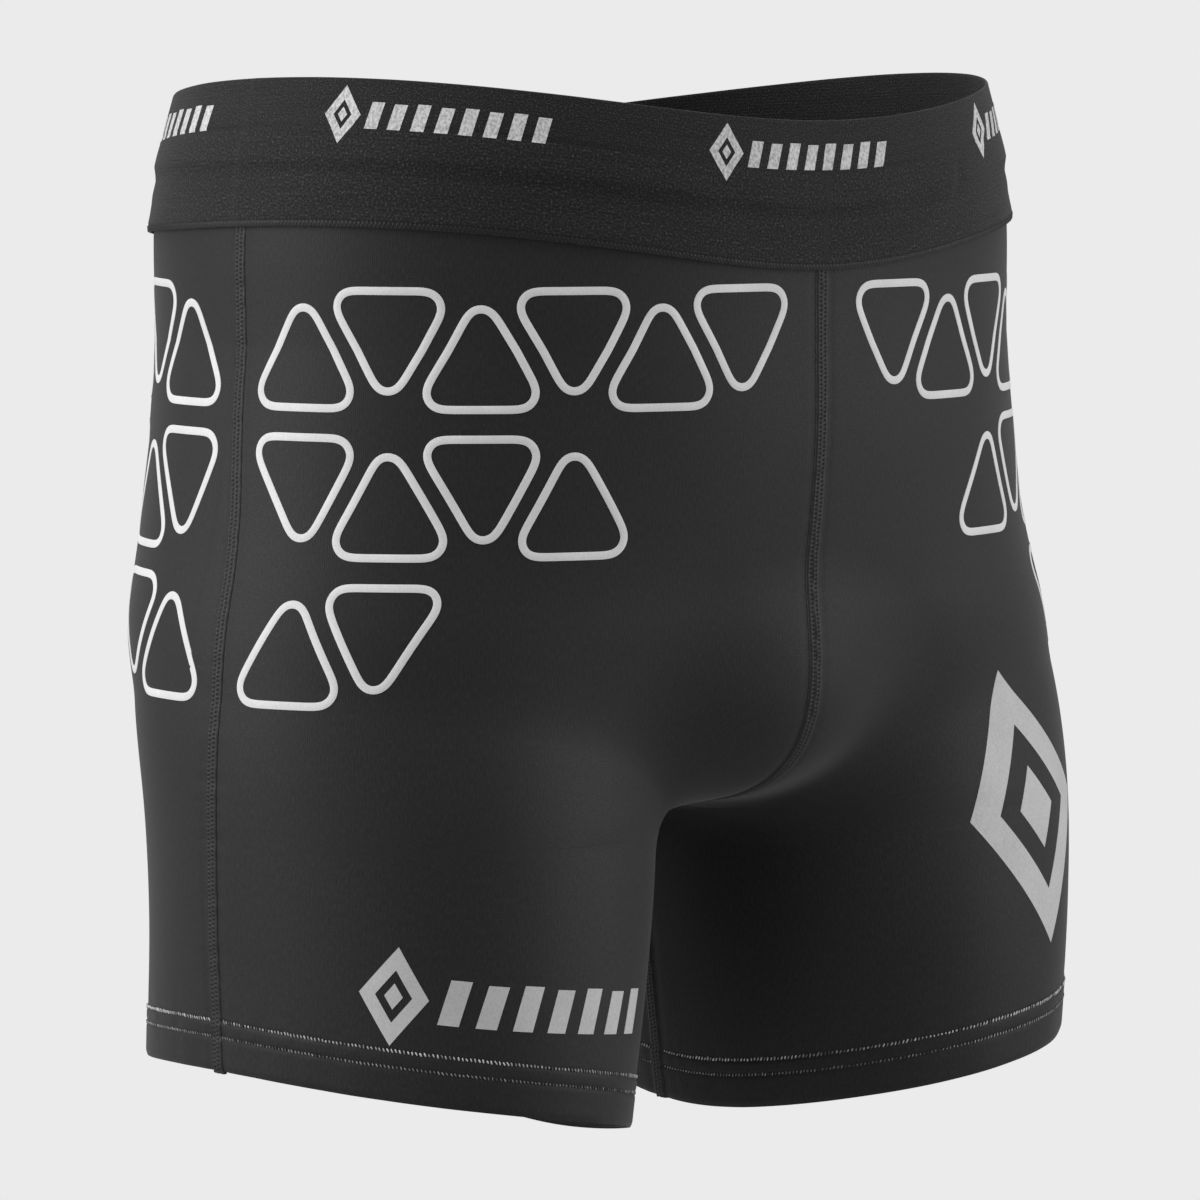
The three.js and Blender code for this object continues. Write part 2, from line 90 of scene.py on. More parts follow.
def spline_table(k, v, lo=-0.06, hi=0.40, n=4601):
    """A natural cubic spline, tabulated; it runs on past both ends."""
    k, v = np.array(k, float), np.array(v, float)
    m = len(k)
    h = np.diff(k)
    a = np.zeros((m, m))
    r = np.zeros(m)
    a[0, 0] = a[-1, -1] = 1
    for i in range(1, m - 1):
        a[i, i - 1], a[i, i], a[i, i + 1] = h[i - 1], 2 * (h[i - 1] + h[i]), h[i]
        r[i] = 6 * ((v[i + 1] - v[i]) / h[i] - (v[i] - v[i - 1]) / h[i - 1])
    s = np.linalg.solve(a, r)
    x = np.linspace(lo, hi, n)
    i = np.clip(np.searchsorted(k, x, side="right") - 1, 0, m - 2)
    t = x - k[i]
    b = (v[i + 1] - v[i]) / h[i] - h[i] * (2 * s[i] + s[i + 1]) / 6
    y = v[i] + t * (b + t * (s[i] / 2 + t * (s[i + 1] - s[i]) / (6 * h[i])))
    return x, y


_T = {n: spline_table(k, v) for n, k, v in (
    ("a", ZP, HIP_A), ("f", ZP, HIP_F), ("b", ZP, HIP_B), ("cx", ZL, LEG_CX), ("cy", ZL, LEG_CY),
    ("rx", ZL, LEG_RX), ("rf", ZL, LEG_RF), ("rb", ZL, LEG_RB), ("sy", ZS, SIDE_Y))}


def tab(n, z):
    return np.interp(z, _T[n][0], _T[n][1])


def smooth(t):
    t = np.clip(t, 0, 1)
    return t * t * (3 - 2 * t)


def field(x, y, z):
    """Negative inside the outer face of the cloth."""
    t = np.clip((z - FLOOR) / CAP, 1e-4, 1)
    e = np.sqrt(1 - (1 - t) ** 2)
    w = 1 - smooth(e / 0.62)
    a = tab("a", z) * ((0.30 + 0.70 * e) * e + BRIDGE * w)
    dep = np.where(y < 0, tab("f", z), tab("b", z)) * e
    q = ((np.abs(x) / (a + 1e-6)) ** NH + (np.abs(y) / (dep + 1e-6)) ** NH) ** (1 / NH)
    hip = (q - 1) * np.minimum(a, dep)
    hip = np.where(q > 1, np.maximum(hip, w * np.hypot(x, y) * (1 - 1 / np.maximum(q, 1e-6))), hip)
    hip = np.where(z < FLOOR, np.maximum(hip, 0) + (FLOOR - z), hip)
    zz = np.minimum(z, 0.26)
    cy, rx = tab("cy", zz), tab("rx", zz)
    yy = y - cy
    ry = np.where(yy < 0, tab("rf", zz), tab("rb", zz))
    ql = ((np.abs(np.abs(x) - tab("cx", zz)) / rx) ** NL + (np.abs(yy) / ry) ** NL) ** (1 / NL)
    leg = (ql - 1) * np.minimum(rx, ry)
    h = np.clip(0.5 + 0.5 * (leg - hip) / KL, 0, 1)
    d = leg * (1 - h) + hip * h - KL * h * (1 - h)
    bx, by, bz, bry, brz = BULGE
    c = (np.sqrt((x / bx) ** 2 + ((y - by) / bry) ** 2 + ((z - bz) / brz) ** 2) - 1) * min(bx, bry, brz)
    h = np.clip(0.5 + 0.5 * (c - d) / KF, 0, 1)
    return c * (1 - h) + d * h - KF * h * (1 - h)


def gradient(p):
    d = 2e-5
    x, y, z = p[..., 0], p[..., 1], p[..., 2]
    return np.stack([
        field(x + d, y, z) - field(x - d, y, z),
        field(x, y + d, z) - field(x, y - d, z),
        field(x, y, z + d) - field(x, y, z - d)], -1) / (2 * d)


def settle(p, times=2):
    """Moves points onto the outer face of the cloth, across it."""
    p = np.array(p, float)
    for _ in range(times):
        g = gradient(p)
        f = field(p[..., 0], p[..., 1], p[..., 2])
        step = f / np.maximum((g * g).sum(-1), 0.05)
        p = p - g * np.clip(step, -0.004, 0.004)[..., None]
    return p


def normals(p):
    g = gradient(p)
    g[..., 0] = np.where(np.abs(p[..., 0]) < 1e-7, 0, g[..., 0])
    return g / np.linalg.norm(g, axis=-1, keepdims=True)


def crotch():
    y = np.linspace(-0.06, 0.06, 61)
    lo, hi, at = 0.05, 0.2, 0.0
    for _ in range(26):
        m = (lo + hi) / 2
        v = field(np.zeros(61), y, np.full(61, m))
        if v.min() < 0:
            hi, at = m, y[v.argmin()]
        else:
            lo = m
    return hi, at


ZC, YC = crotch()


def middle_y(z, sign):
    lo, hi = np.zeros_like(z), np.full_like(z, 0.2)
    for _ in range(34):
        m = (lo + hi) / 2
        into = field(np.zeros_like(z), YC + sign * m, z) < 0
        lo, hi = np.where(into, m, lo), np.where(into, hi, m)
    return np.where(z <= ZC, YC, YC + sign * (lo + hi) / 2)


# Level sections of the right half: points every STEP metres of arc, counted from
# the side seam, forward positive.
STEP, REACH = 0.002, 0.35
LEVELS = np.unique(np.concatenate([
    np.linspace(-0.034, ZC - 0.012, 60), ZC - 0.012 * np.linspace(1, 0, 14) ** 2,
    ZC + (0.375 - ZC) * np.linspace(0, 1, 170) ** 2.3]))


def sections():
    z = LEVELS[:, None]
    t, zo = np.clip((z - 0.10) / 0.18, 0, 1), np.minimum(z, 0.12)
    ox = tab("cx", zo) * (1 - t) + 0.062 * t
    yf, yb = middle_y(z, -1), middle_y(z, 1)
    af, ab = np.arctan2(ox, -(yf - YC)), np.arctan2(ox, -(yb - YC)) - 2 * np.pi
    w = np.linspace(0, 1, 620)
    u = 0.35 * w + 0.65 * 0.5 * (1 - np.cos(np.pi * w))
    al = af + (ab - af) * u[None, :]
    dx, dy = np.sin(al), -np.cos(al)
    zz = z + 0 * al
    lo, hi = np.zeros_like(al), np.full_like(al, 0.26)
    for _ in range(24):
        m = (lo + hi) / 2
        x = -ox + dx * m
        into = (x < 1e-9) & (field(x, YC + dy * m, zz) < 0)
        lo, hi = np.where(into, m, lo), np.where(into, hi, m)
    r = (lo + hi) / 2
    x, y = np.minimum(-ox + dx * r, 0), YC + dy * r
    x[:, 0] = np.where(LEVELS >= ZC, 0, x[:, 0])
    x[:, -1] = np.where(LEVELS >= ZC, 0, x[:, -1])
    arc = np.concatenate([np.zeros((len(LEVELS), 1)), np.cumsum(np.hypot(np.diff(x), np.diff(y)), 1)], 1)
    a = np.arange(-REACH, REACH + 1e-9, STEP)
    tx, ty = np.zeros((len(LEVELS), len(a))), np.zeros((len(LEVELS), len(a)))
    front, back = np.zeros(len(LEVELS)), np.zeros(len(LEVELS))
    for k in range(len(LEVELS)):
        side = x[k] < np.median(x[k])
        want = tab("sy", np.clip(LEVELS[k], 0, 0.30))
        i = np.where(side & (np.arange(620) > 120) & (np.arange(620) < 520))[0]
        i = i[(y[k][i] > want)][0]
        f = (want - y[k][i - 1]) / (y[k][i] - y[k][i - 1])
        s0 = arc[k][i - 1] + f * (arc[k][i] - arc[k][i - 1])
        front[k], back[k] = s0, arc[k][-1] - s0
        at = s0 - a                      # arc from the front middle
        tx[k], ty[k] = np.interp(at, arc[k], x[k]), np.interp(at, arc[k], y[k])
    return a, tx, ty, front, back


ARC, TX, TY, FRONT, BACK = sections()


def front_len(z):
    """Arc from the side seam to the front middle, or the inseam below the crotch."""
    return np.interp(z, LEVELS, FRONT)


def back_len(z):
    return np.interp(z, LEVELS, BACK)


def place(a, z, side=-1, fix=2):
    """The point at arc a from the side seam and height z; side -1 is the wearer's right."""
    a, z = np.broadcast_arrays(np.asarray(a, float), np.asarray(z, float))
    k = np.clip(np.searchsorted(LEVELS, z, side="right") - 1, 0, len(LEVELS) - 2)
    f = np.clip((z - LEVELS[k]) / (LEVELS[k + 1] - LEVELS[k]), 0, 1)
    q = np.clip((a + REACH) / STEP, 0, len(ARC) - 1.001)
    i = q.astype(int)
    g = q - i
    out = []
    for T in (TX, TY):
        lo = T[k, i] * (1 - g) + T[k, i + 1] * g
        hi = T[k + 1, i] * (1 - g) + T[k + 1, i + 1] * g
        out.append(lo * (1 - f) + hi * f)
    p = np.stack([out[0], out[1], z], -1)
    if fix:
        p = settle(p, fix)
        p[..., 0] = np.minimum(p[..., 0], 0)
    if side > 0:
        p[..., 0] *= -1
    return p


def series(c, a):
    return c[0] + c[1] * np.cos(a) + c[2] * np.cos(2 * a) + c[3] * np.cos(3 * a)


def band_top(az):
    return series(BAND_TOP, az)


def band_low(az):
    w = smooth((np.abs(az) - math.radians(100)) / math.radians(60))
    return series(BAND_LOW, az) * (1 - w) + (band_top(az) - BAND_BACK) * w


def azimuth(p):
    return np.arctan2(p[..., 0], -p[..., 1])


def hem_height(p):
    """Height of the hem edge on the column through p, for the right half."""
    z = p[..., 2]
    t, zo = np.clip((z - 0.10) / 0.18, 0, 1), np.minimum(z, 0.12)
    ox, oy = tab("cx", zo) * (1 - t) + 0.062 * t, tab("cy", zo) * (1 - t)
    a = np.arctan2(-np.abs(p[..., 0]) + ox, -(p[..., 1] - oy))
    rise = HEM_RISE * np.exp(2.3 * (np.cos(a - HEM_RISE_AT) - 1))
    return HEM[0] + HEM[1] * np.cos(a) + HEM[2] * np.sin(a) + HEM[3] * np.cos(2 * a) + HEM[4] * np.sin(2 * a) + rise

# ------------------------------------------------------------- worn-in surface
# Small departures of the cloth from the smooth form, in metres along the normal:
# the bound hem, the pull of the stitch rows and the pucker beside the seams.
LEFT, RIGHT = 1, -1


def wavy(s, seed, *waves):
    """A smooth uneven ripple of s: waves are (length, share)."""
    out = 0.0
    for i, (length, share) in enumerate(waves):
        out = out + share * np.sin(2 * np.pi * s / length + 1.7 * seed + 2.4 * i)
    return out


def relief(p):
    x, y, z = p[..., 0], p[..., 1], p[..., 2]
    turn = np.where(x > 0, 2.3, 0.0)
    h = (z - hem_height(p)) * 1000
    t, zo = np.clip((z - 0.10) / 0.18, 0, 1), np.minimum(z, 0.12)
    around = np.arctan2(y - tab("cy", zo) * (1 - t), np.abs(x) - tab("cx", zo) * (1 - t) - 0.062 * t) * 88
    along = wavy(around, turn, (9.1, 0.55), (14.7, 0.6), (5.3, 0.25))
    d = 0.42 * smooth((19.6 - h) / 2.4) - 0.62 * smooth((3.0 - h) / 3.4) ** 2
    for row, deep in ((17.6, 0.50), (12.0, 0.36)):
        d = d - deep * (1 + 0.4 * along) * np.exp(-((h - row) / 0.95) ** 2)
    d = d + 0.10 * along * np.exp(-((h - 14.5) / 7.0) ** 2)
    d = d + 0.05 * wavy(around + 0.35 * h, turn + 1, (31, 1), (18.3, 0.6)) * smooth((30 - h) / 12)
    # beside the side seams
    off = (y - tab("sy", np.clip(z, 0, 0.30))) * 1000
    lateral = np.abs(x) > 0.08
    pull = wavy(z * 1000, turn, (6.7, 0.5), (9.9, 0.5), (23.0, 0.5))
    side = np.where(lateral, np.exp(-(off / 7.5) ** 2) * pull * 0.13 - 0.22 * np.exp(-((np.abs(off) - 4.2) / 1.4) ** 2), 0)
    # beside the middle seams and the inseam
    off = np.where(z > ZC, np.abs(x), 1) * 1000
    mid = np.exp(-(off / 7.5) ** 2) * pull * 0.11 - 0.20 * np.exp(-((off - 4.2) / 1.4) ** 2)
    off = np.where((z < ZC) & (np.abs(x) < tab("cx", zo)), np.abs(y - YC), 1) * 1000
    ins = np.exp(-(off / 7.5) ** 2) * pull * 0.11 - 0.20 * np.exp(-((off - 4.2) / 1.4) ** 2)
    near = smooth((np.hypot(np.hypot(x, y - YC), z - ZC) - 0.012) / 0.02)
    d = d + side + (mid + ins) * near
    # the slack of worn cloth, a few tenths of a millimetre
    k = 1000.0
    d = d + 0.16 * np.sin(k * (0.9 * z - 0.25 * y) / 21 + turn) * np.sin(k * (0.7 * y + 0.4 * x) / 26 + 1)
    d = d + 0.10 * np.sin(k * (z + 0.5 * x) / 13.7 + 2 * turn) * np.sin(k * (y - 0.6 * z) / 17.1)
    return d * 0.001


def lift(p, off):
    """Points on the form, raised off millimetres from the worn surface, in the row frame."""
    n = normals(p)
    out = p + n * (relief(p) + np.asarray(off) * 0.001)[..., None]
    out[..., 2] -= DATUM
    return out


# -------------------------------------------------------------- mesh building
def make(name, verts, quads, material, uv=None, marks=None, sharp=45):
    """A mesh object of quads; uv and marks are per vertex."""
    verts, quads = np.asarray(verts, np.float32), np.asarray(quads, np.int32)
    a, b, c, d = (verts[quads[:, i]].astype(float) for i in range(4))
    vol = (np.cross(b, c) * a).sum() + (np.cross(c, d) * a).sum()
    if vol < 0:
        quads = quads[:, ::-1].copy()
    me = bpy.data.meshes.new(name)
    me.vertices.add(len(verts))
    me.vertices.foreach_set("co", verts.ravel())
    me.loops.add(quads.size)
    me.loops.foreach_set("vertex_index", quads.ravel())
    me.polygons.add(len(quads))
    me.polygons.foreach_set("loop_start", np.arange(0, quads.size, 4, dtype=np.int32))
    me.polygons.foreach_set("use_smooth", np.ones(len(quads), bool))
    me.update(calc_edges=True)
    me.validate()
    if uv is not None:
        layer = me.uv_layers.new(name="cloth")
        layer.data.foreach_set("uv", np.asarray(uv, np.float32)[quads.ravel()].ravel())
    for key, val in (marks or {}).items():
        at = me.attributes.new(key, "FLOAT", "POINT")
        at.data.foreach_set("value", np.asarray(val, np.float32).ravel())
    me.set_sharp_from_angle(angle=math.radians(sharp))
    me.materials.append(material)
    o = bpy.data.objects.new(name, me)
    bpy.context.scene.collection.objects.link(o)
    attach(o, "root")
    return o


def grid_quads(r, c, base=0, closed=False):
    i, j = np.meshgrid(np.arange(r - 1), np.arange(c if closed else c - 1), indexing="ij")
    k = (j + 1) % c
    return (base + np.stack([i * c + j, i * c + k, (i + 1) * c + k, (i + 1) * c + j], -1)).reshape(-1, 4)


def shell(outer, inner, closed=False):
    """Two faces of the same grid and the rims between them, as one closed body."""
    r, c = outer.shape[:2]
    n = r * c
    top, low = grid_quads(r, c, 0, closed), grid_quads(r, c, n, closed)[:, ::-1]
    rims = []
    j = np.arange(c if closed else c - 1)
    k = (j + 1) % c
    rims.append(np.stack([j, n + j, n + k, k], -1))
    e = (r - 1) * c
    rims.append(np.stack([e + j, e + k, n + e + k, n + e + j], -1))
    if not closed:
        i = np.arange(r - 1) * c
        rims.append(np.stack([i, i + c, n + i + c, n + i], -1))
        i = i + c - 1
        rims.append(np.stack([i, n + i, n + i + c, i + c], -1))
    return np.concatenate([outer.reshape(-1, 3), inner.reshape(-1, 3)]), np.concatenate([top, low] + rims)


def join(parts):
    """Several (verts, quads, marks) bodies as one."""
    v, q, m, n = [], [], {}, 0
    for verts, quads, marks in parts:
        v.append(verts)
        q.append(quads + n)
        n += len(verts)
        for key, val in (marks or {}).items():
            m.setdefault(key, []).append(np.broadcast_to(np.asarray(val, float), (len(verts),)))
    return np.concatenate(v), np.concatenate(q), {k: np.concatenate(x) for k, x in m.items()}


def evenly(p, step, closed=False):
    """Points along a polyline, evenly spaced; returns them and their arc."""
    if closed:
        p = np.concatenate([p, p[:1]])
    s = np.concatenate([[0], np.cumsum(np.linalg.norm(np.diff(p, axis=0), axis=1))])
    n = max(2, int(round(s[-1] / step)))
    at = np.linspace(0, s[-1], n + 1)
    if closed:
        at = at[:-1]
    return np.stack([np.interp(at, s, p[:, i]) for i in range(p.shape[1])], -1), at


def smoothed(p, sigma, closed):
    """Evens out a dense polyline by a Gaussian of sigma samples."""
    w = int(3 * sigma) + 1
    k = np.exp(-0.5 * (np.arange(-w, w + 1) / sigma) ** 2)
    k /= k.sum()
    if closed:
        q = np.concatenate([p[-w:], p, p[:w]])
    else:
        q = np.concatenate([2 * p[0] - p[w:0:-1], p, 2 * p[-1] - p[-2:-w - 2:-1]])
    return np.stack([np.convolve(q[:, i], k, "valid") for i in range(p.shape[1])], -1)


def strip(line, half, across, top, low, closed=False, tone=None):
    """A closed body along a line on the form. across are shares of half, top and
    low are heights in mm as functions of (share, arc in mm)."""
    line = settle(line, 1)
    if closed:
        tan = np.roll(line, -1, 0) - np.roll(line, 1, 0)
    else:
        tan = np.gradient(line, axis=0)
    tan /= np.linalg.norm(tan, axis=1, keepdims=True)
    n = normals(line)
    b = np.cross(n, tan)
    b /= np.linalg.norm(b, axis=1, keepdims=True)
    across = np.asarray(across, float)
    half = np.broadcast_to(np.asarray(half, float), (len(line),))
    p = settle(line[:, None] + b[:, None] * (across[None, :, None] * half[:, None, None]), 2)
    s = np.concatenate([[0], np.cumsum(np.linalg.norm(np.diff(line, axis=0), axis=1))]) * 1000
    t, ss = np.broadcast_arrays(across[None, :], s[:, None])
    ht, hl = top(t, ss), low(t, ss)
    outer, inner = lift(p, ht), lift(p, hl)
    if closed:
        outer, inner = outer.transpose(1, 0, 2), inner.transpose(1, 0, 2)
        ht, hl = np.asarray(ht).T, np.asarray(hl).T
    v, q = shell(outer, inner, closed)
    return v, q, {"relief": np.concatenate([np.ravel(ht), np.ravel(hl)])}

# -------------------------------------------------------------------- panels
CLOTH = 0.9                    # mm
TUCK = 0.0024                  # panel edges end this far from a seam line
LAP = 0.008                    # cloth under the waistband
LEVELS_HEM = np.concatenate([[0, 0.25, 0.6, 1.0, 1.5, 2.1], np.arange(2.7, 22.2, 0.6)]) / 1000


def length(z, sign):
    return front_len(z) if sign > 0 else back_len(z)


def column(c, z, sign, tuck=TUCK):
    """Arc of share c of the way from the side seam to the middle, at height z."""
    return sign * (tuck + (length(z, sign) - 2 * tuck) * c)


def solve(fn, c, sign, start, tuck=TUCK):
    z = np.full(np.shape(c), start)
    for _ in range(6):
        z = fn(place(column(c, z, sign, tuck), z, fix=0))
    return z


def hem_z(c, sign, tuck=TUCK):
    return solve(hem_height, c, sign, 0.0, tuck)


def low_z(c, sign, tuck=TUCK):
    return solve(lambda p: band_low(azimuth(p)), c, sign, 0.3, tuck)


def top_z(c, sign, tuck=TUCK):
    return solve(lambda p: band_top(azimuth(p)), c, sign, 0.34, tuck)


def middle_shares(n, sign, zt):
    """Heights at equal steps along the middle line, which is almost level at first."""
    z = ZC + (zt - ZC) * np.linspace(0, 1, 2400) ** 2.4
    y = middle_y(z, -sign)
    s = np.concatenate([[0], np.cumsum(np.hypot(np.diff(y), np.diff(z)))])
    return (np.interp(np.linspace(0, s[-1], n + 1), s, z) - ZC) / (zt - ZC)


def spaced(n, end):
    """Shares from 0 to 1, closer together near both ends."""
    w = np.linspace(0, 1, n)
    return w - end * np.sin(2 * np.pi * w) / (2 * np.pi)


def panel(name, side, sign, material):
    c = spaced(112, 0.55)
    zh, zt = hem_z(c, sign), low_z(c, sign) + LAP
    rows = [zh + h for h in LEVELS_HEM]
    z0 = rows[-1]
    n = 34
    rows += [z0 + (ZC - z0) * (1 - (1 - i / n) ** 1.35) for i in range(1, n)]
    body = middle_shares(118, sign, zt[-1])
    rows += [ZC + (zt - ZC) * s for s in body]
    z = np.stack(rows)
    a = column(c[None, :], z, sign)
    p = place(a, z)
    # just over the crotch the level lines run askew: the edge is drawn in to the seam there
    near = np.where((z[:, -1] > ZC + 0.0005) & (z[:, -1] < ZC + 0.0045))[0]
    w = np.linspace(0, 1, 6)[1:]
    e = p[near][:, -5:]
    e[..., 0] += (np.maximum(e[:, -1:, 0], -0.0021) - e[:, -1:, 0]) * w
    up, down = e[..., 2] + 0.008, e[..., 2] - 0.008
    for _ in range(24):
        m = (up + down) / 2
        into = field(e[..., 0], e[..., 1], m) < 0
        up, down = np.where(into, m, up), np.where(into, down, m)
    e[..., 2] = (up + down) / 2
    p[near, -5:] = e
    if side > 0:
        p[..., 0] *= -1
    outer, inner = lift(p, np.zeros(z.shape)), lift(p, np.full(z.shape, -CLOTH))
    v, q = shell(outer, inner)
    width = length(0.2, sign)
    uv = np.stack([np.broadcast_to(c * width, z.shape) + 0.5 * (sign > 0) + (side > 0), z + 0.1], -1).reshape(-1, 2)
    o = make(name, v, q, material, uv=np.concatenate([uv, uv]))
    d1, d2 = np.diff(outer, axis=0)[:, :-1], np.diff(outer, axis=1)[:-1]
    area = np.linalg.norm(np.cross(d1, d2), axis=-1).sum()
    return o, area, (np.ptp(c) * width, float(zt.max() - zh.min()))


# --------------------------------------------------------------------- seams
def seam_line_side(side, z0, z1, step):
    z = np.linspace(z0, z1, 900)
    p = place(np.zeros(900), z)
    p[:, 0] *= -side
    return evenly(p, step)[0]


def seam_line_middle(sign, zt, step, start=0.0):
    z = ZC + (zt - ZC) * np.linspace(0, 1, 2400) ** 2.4
    p = np.stack([np.zeros(2400), middle_y(z, -sign), z], -1)
    p[:, 1] += YC * 0
    p = evenly(p, step)[0]
    return p[np.abs(p[:, 1] - YC) >= start]


def seam_line_inner(step):
    zh = float(hem_z(np.array([1.0]), 1, 0.0)[0])
    z = zh - 0.0004 + (ZC - zh + 0.0004) * (1 - (1 - np.linspace(0, 1, 1500)) ** 2.2)
    x = -np.abs(place(front_len(z), z, fix=0)[:, 0])
    lo, hi = np.zeros(1500) - 0.12, np.zeros(1500)
    # the inner side of the leg at y = YC
    cx = -tab("cx", z)
    a, b = cx.copy(), np.zeros(1500)
    for _ in range(40):
        m = (a + b) / 2
        into = field(m, np.full(1500, YC), z) < 0
        a, b = np.where(into, m, a), np.where(into, b, m)
    p = np.stack([(a + b) / 2, np.full(1500, YC), z], -1)
    p[-1] = (0, YC, ZC)
    left = p[::-1].copy()
    left[:, 0] *= -1
    return evenly(np.concatenate([p, left[1:]]), step)[0]


ACROSS = np.concatenate([[-1, -0.97], np.linspace(-0.9, 0.9, 15), [0.97, 1]])
PITCH = 1.5


def chain(t, s):
    """Two columns of chain stitches side by side, in mm above the cloth: each loop
    draws in a small pit, and one edge of the seam is drawn down hard."""
    out = 0.08 + 0.27 * np.clip(1 - t ** 6, 0, 1)
    for c, ph in ((-0.38, 0.0), (0.30, 0.5)):
        run = s / PITCH + ph + 0.42 * (t - c) + 0.06 * np.sin(s / 7.7 + c)
        ds = ((run + 0.5) % 1 - 0.5) * PITCH
        out = out - 0.46 * np.exp(-((t - c) / 0.20) ** 2 - (ds / 0.46) ** 2)
        out = out + 0.11 * np.exp(-((np.abs(t - c) - 0.25) / 0.11) ** 2) * (0.7 + 0.3 * np.cos(2 * np.pi * run))
    out = out + 0.035 * np.cos(2 * np.pi * (s / 0.75 + 1.5 * t)) * np.clip(1 - t ** 4, 0, 1)
    out = out - 0.07 * np.exp(-((t + 0.04) / 0.06) ** 2) - 0.30 * np.exp(-((t - 0.80) / 0.10) ** 2)
    return out


def chain_in(t, s):
    return -1.15 - 0.6 * (chain(t, s + 0.6) - 0.25)


def flat_seam(name, line, material, half=0.003, closed=False):
    v, q, m = strip(line, half, ACROSS, chain, chain_in, closed)
    return make(name, v, q, material, marks=m, sharp=70)


# ----------------------------------------------------------------- leg rings
def leg_ring(h, side, n=260, tuck=0.0):
    """Points round a leg, h mm above the hem edge, from the inseam forward to the side and back."""
    c = np.linspace(0, 1, n)
    out = []
    for sign, cc in ((1, c[::-1]), (-1, c)):
        z = hem_z(cc, sign, tuck) + h / 1000
        out.append(place(column(cc, z, sign, tuck), z))
    p = np.concatenate([out[0], out[1][1:-1]])
    if side > 0:
        p[:, 0] *= -1
    return p


def turnup(name, side, material):
    hs = np.concatenate([[0.5, 0.9, 1.5], np.arange(2.4, 18.9, 1.1), [19.0]])
    lines = np.stack([leg_ring(h, side, 130) for h in hs])
    prof = np.interp(hs, [0, 1.6, 19.0], [-1.15, -1.42, -1.42])[:, None] + np.zeros(lines.shape[:2])
    v, q = shell(lift(lines, prof), lift(lines, prof - 0.72), closed=True)
    s = np.concatenate([[0], np.cumsum(np.linalg.norm(np.diff(lines[0], axis=0), axis=1))])
    uv = np.stack(np.broadcast_arrays(s[None, :] + 3 + (side > 0), hs[:, None] / 1000), -1).reshape(-1, 2)
    o = make(name, v, q, material, uv=np.concatenate([uv, uv]))
    area = s[-1] * 0.0185
    return o, area, s[-1]


def ball():
    """A small rounded body of quads, one unit across in each direction."""
    f = np.array([-1, 0, 1.0])
    v, q = [], []
    for ax in range(3):
        for sg in (-1, 1):
            base = len(v)
            for i in f:
                for j in f:
                    w = [0, 0, 0]
                    w[ax], w[(ax + 1) % 3], w[(ax + 2) % 3] = sg, i, j
                    v.append(w)
            for i in range(2):
                for j in range(2):
                    k = [base + i * 3 + j, base + (i + 1) * 3 + j, base + (i + 1) * 3 + j + 1, base + i * 3 + j + 1]
                    q.append(k if sg > 0 else k[::-1])
    v, q = np.array(v, float), np.array(q)
    key = {}
    idx = np.array([key.setdefault(tuple(w), len(key)) for w in v.tolist()])
    u = np.array(list(key))
    u = u / (np.abs(u) ** 3).sum(1, keepdims=True) ** (1 / 3)
    return u * 0.5, idx[q]


BALL_V, BALL_Q = ball()


def ticks(name, side, h, pitch, size, angle, rise, rng, material, skip=0.0034):
    """A row of short thread ends round a leg: every stitch is its own raised bar."""
    ring, s = evenly(leg_ring(h, side), pitch / 1000, closed=True)
    n = len(ring)
    tan = np.roll(ring, -1, 0) - np.roll(ring, 1, 0)
    tan /= np.linalg.norm(tan, axis=1, keepdims=True)
    nrm = normals(ring)
    up = np.cross(nrm, tan)
    up *= np.sign(up[:, 2:3])
    fwd = np.cross(up, nrm)
    turn = np.radians(angle + rng.normal(0, 7, n)) * side
    jitter = rng.normal(0, 0.00006, (n, 2))
    size = np.array(size) * 0.001 * (1 + rng.normal(0, 0.10, (n, 3)) * [1, 0.7, 0.5])
    grow = 1 - 0.35 * smooth(0.5 + 0.5 * np.sin(s * 1000 / 17 + side)) * smooth(0.5 + 0.5 * np.sin(s * 1000 / 5.9))
    size[:, 0] *= grow
    d1 = fwd * np.cos(turn)[:, None] + up * np.sin(turn)[:, None]
    d2 = np.cross(nrm, d1)
    q = ring + fwd * jitter[:, :1] + up * jitter[:, 1:]
    centre = lift(settle(q, 1), np.full(n, rise))
    seam = np.minimum(np.abs(q[:, 1] - tab("sy", np.clip(q[:, 2], 0, 0.3))) + 9 * (np.abs(q[:, 0]) < 0.09),
                      np.abs(q[:, 1] - YC) + 9 * (np.abs(q[:, 0]) > 0.06))
    tone = np.clip(0.62 + 0.22 * rng.normal(0, 1, n) + 0.18 * np.sin(s * 1000 / 23 + side), 0.1, 1)
    parts = []
    for k in np.where(seam > skip)[0]:
        m = np.stack([d1[k] * size[k, 0], d2[k] * size[k, 1], nrm[k] * size[k, 2]])
        parts.append((BALL_V @ m + centre[k], BALL_Q, {"tone": tone[k]}))
    v, qd, m = join(parts)
    return make(name, v, qd, material, marks=m, sharp=180)


def looper(t, s):
    """The covering thread inside the hem, laced between the two rows."""
    z = np.abs(((s / 3.1) % 1) * 2 - 1) * 1.5 - 0.75
    w = np.abs((((s + 1.55) / 3.1) % 1) * 2 - 1) * 1.5 - 0.75
    cord = np.exp(-((t - z) / 0.15) ** 2) + np.exp(-((t - w) / 0.15) ** 2)
    edge = np.exp(-((np.abs(t) - 0.82) / 0.10) ** 2) * (0.6 + 0.4 * np.cos(2 * np.pi * s / 1.55))
    return np.clip(cord + edge, 0, 1.2)

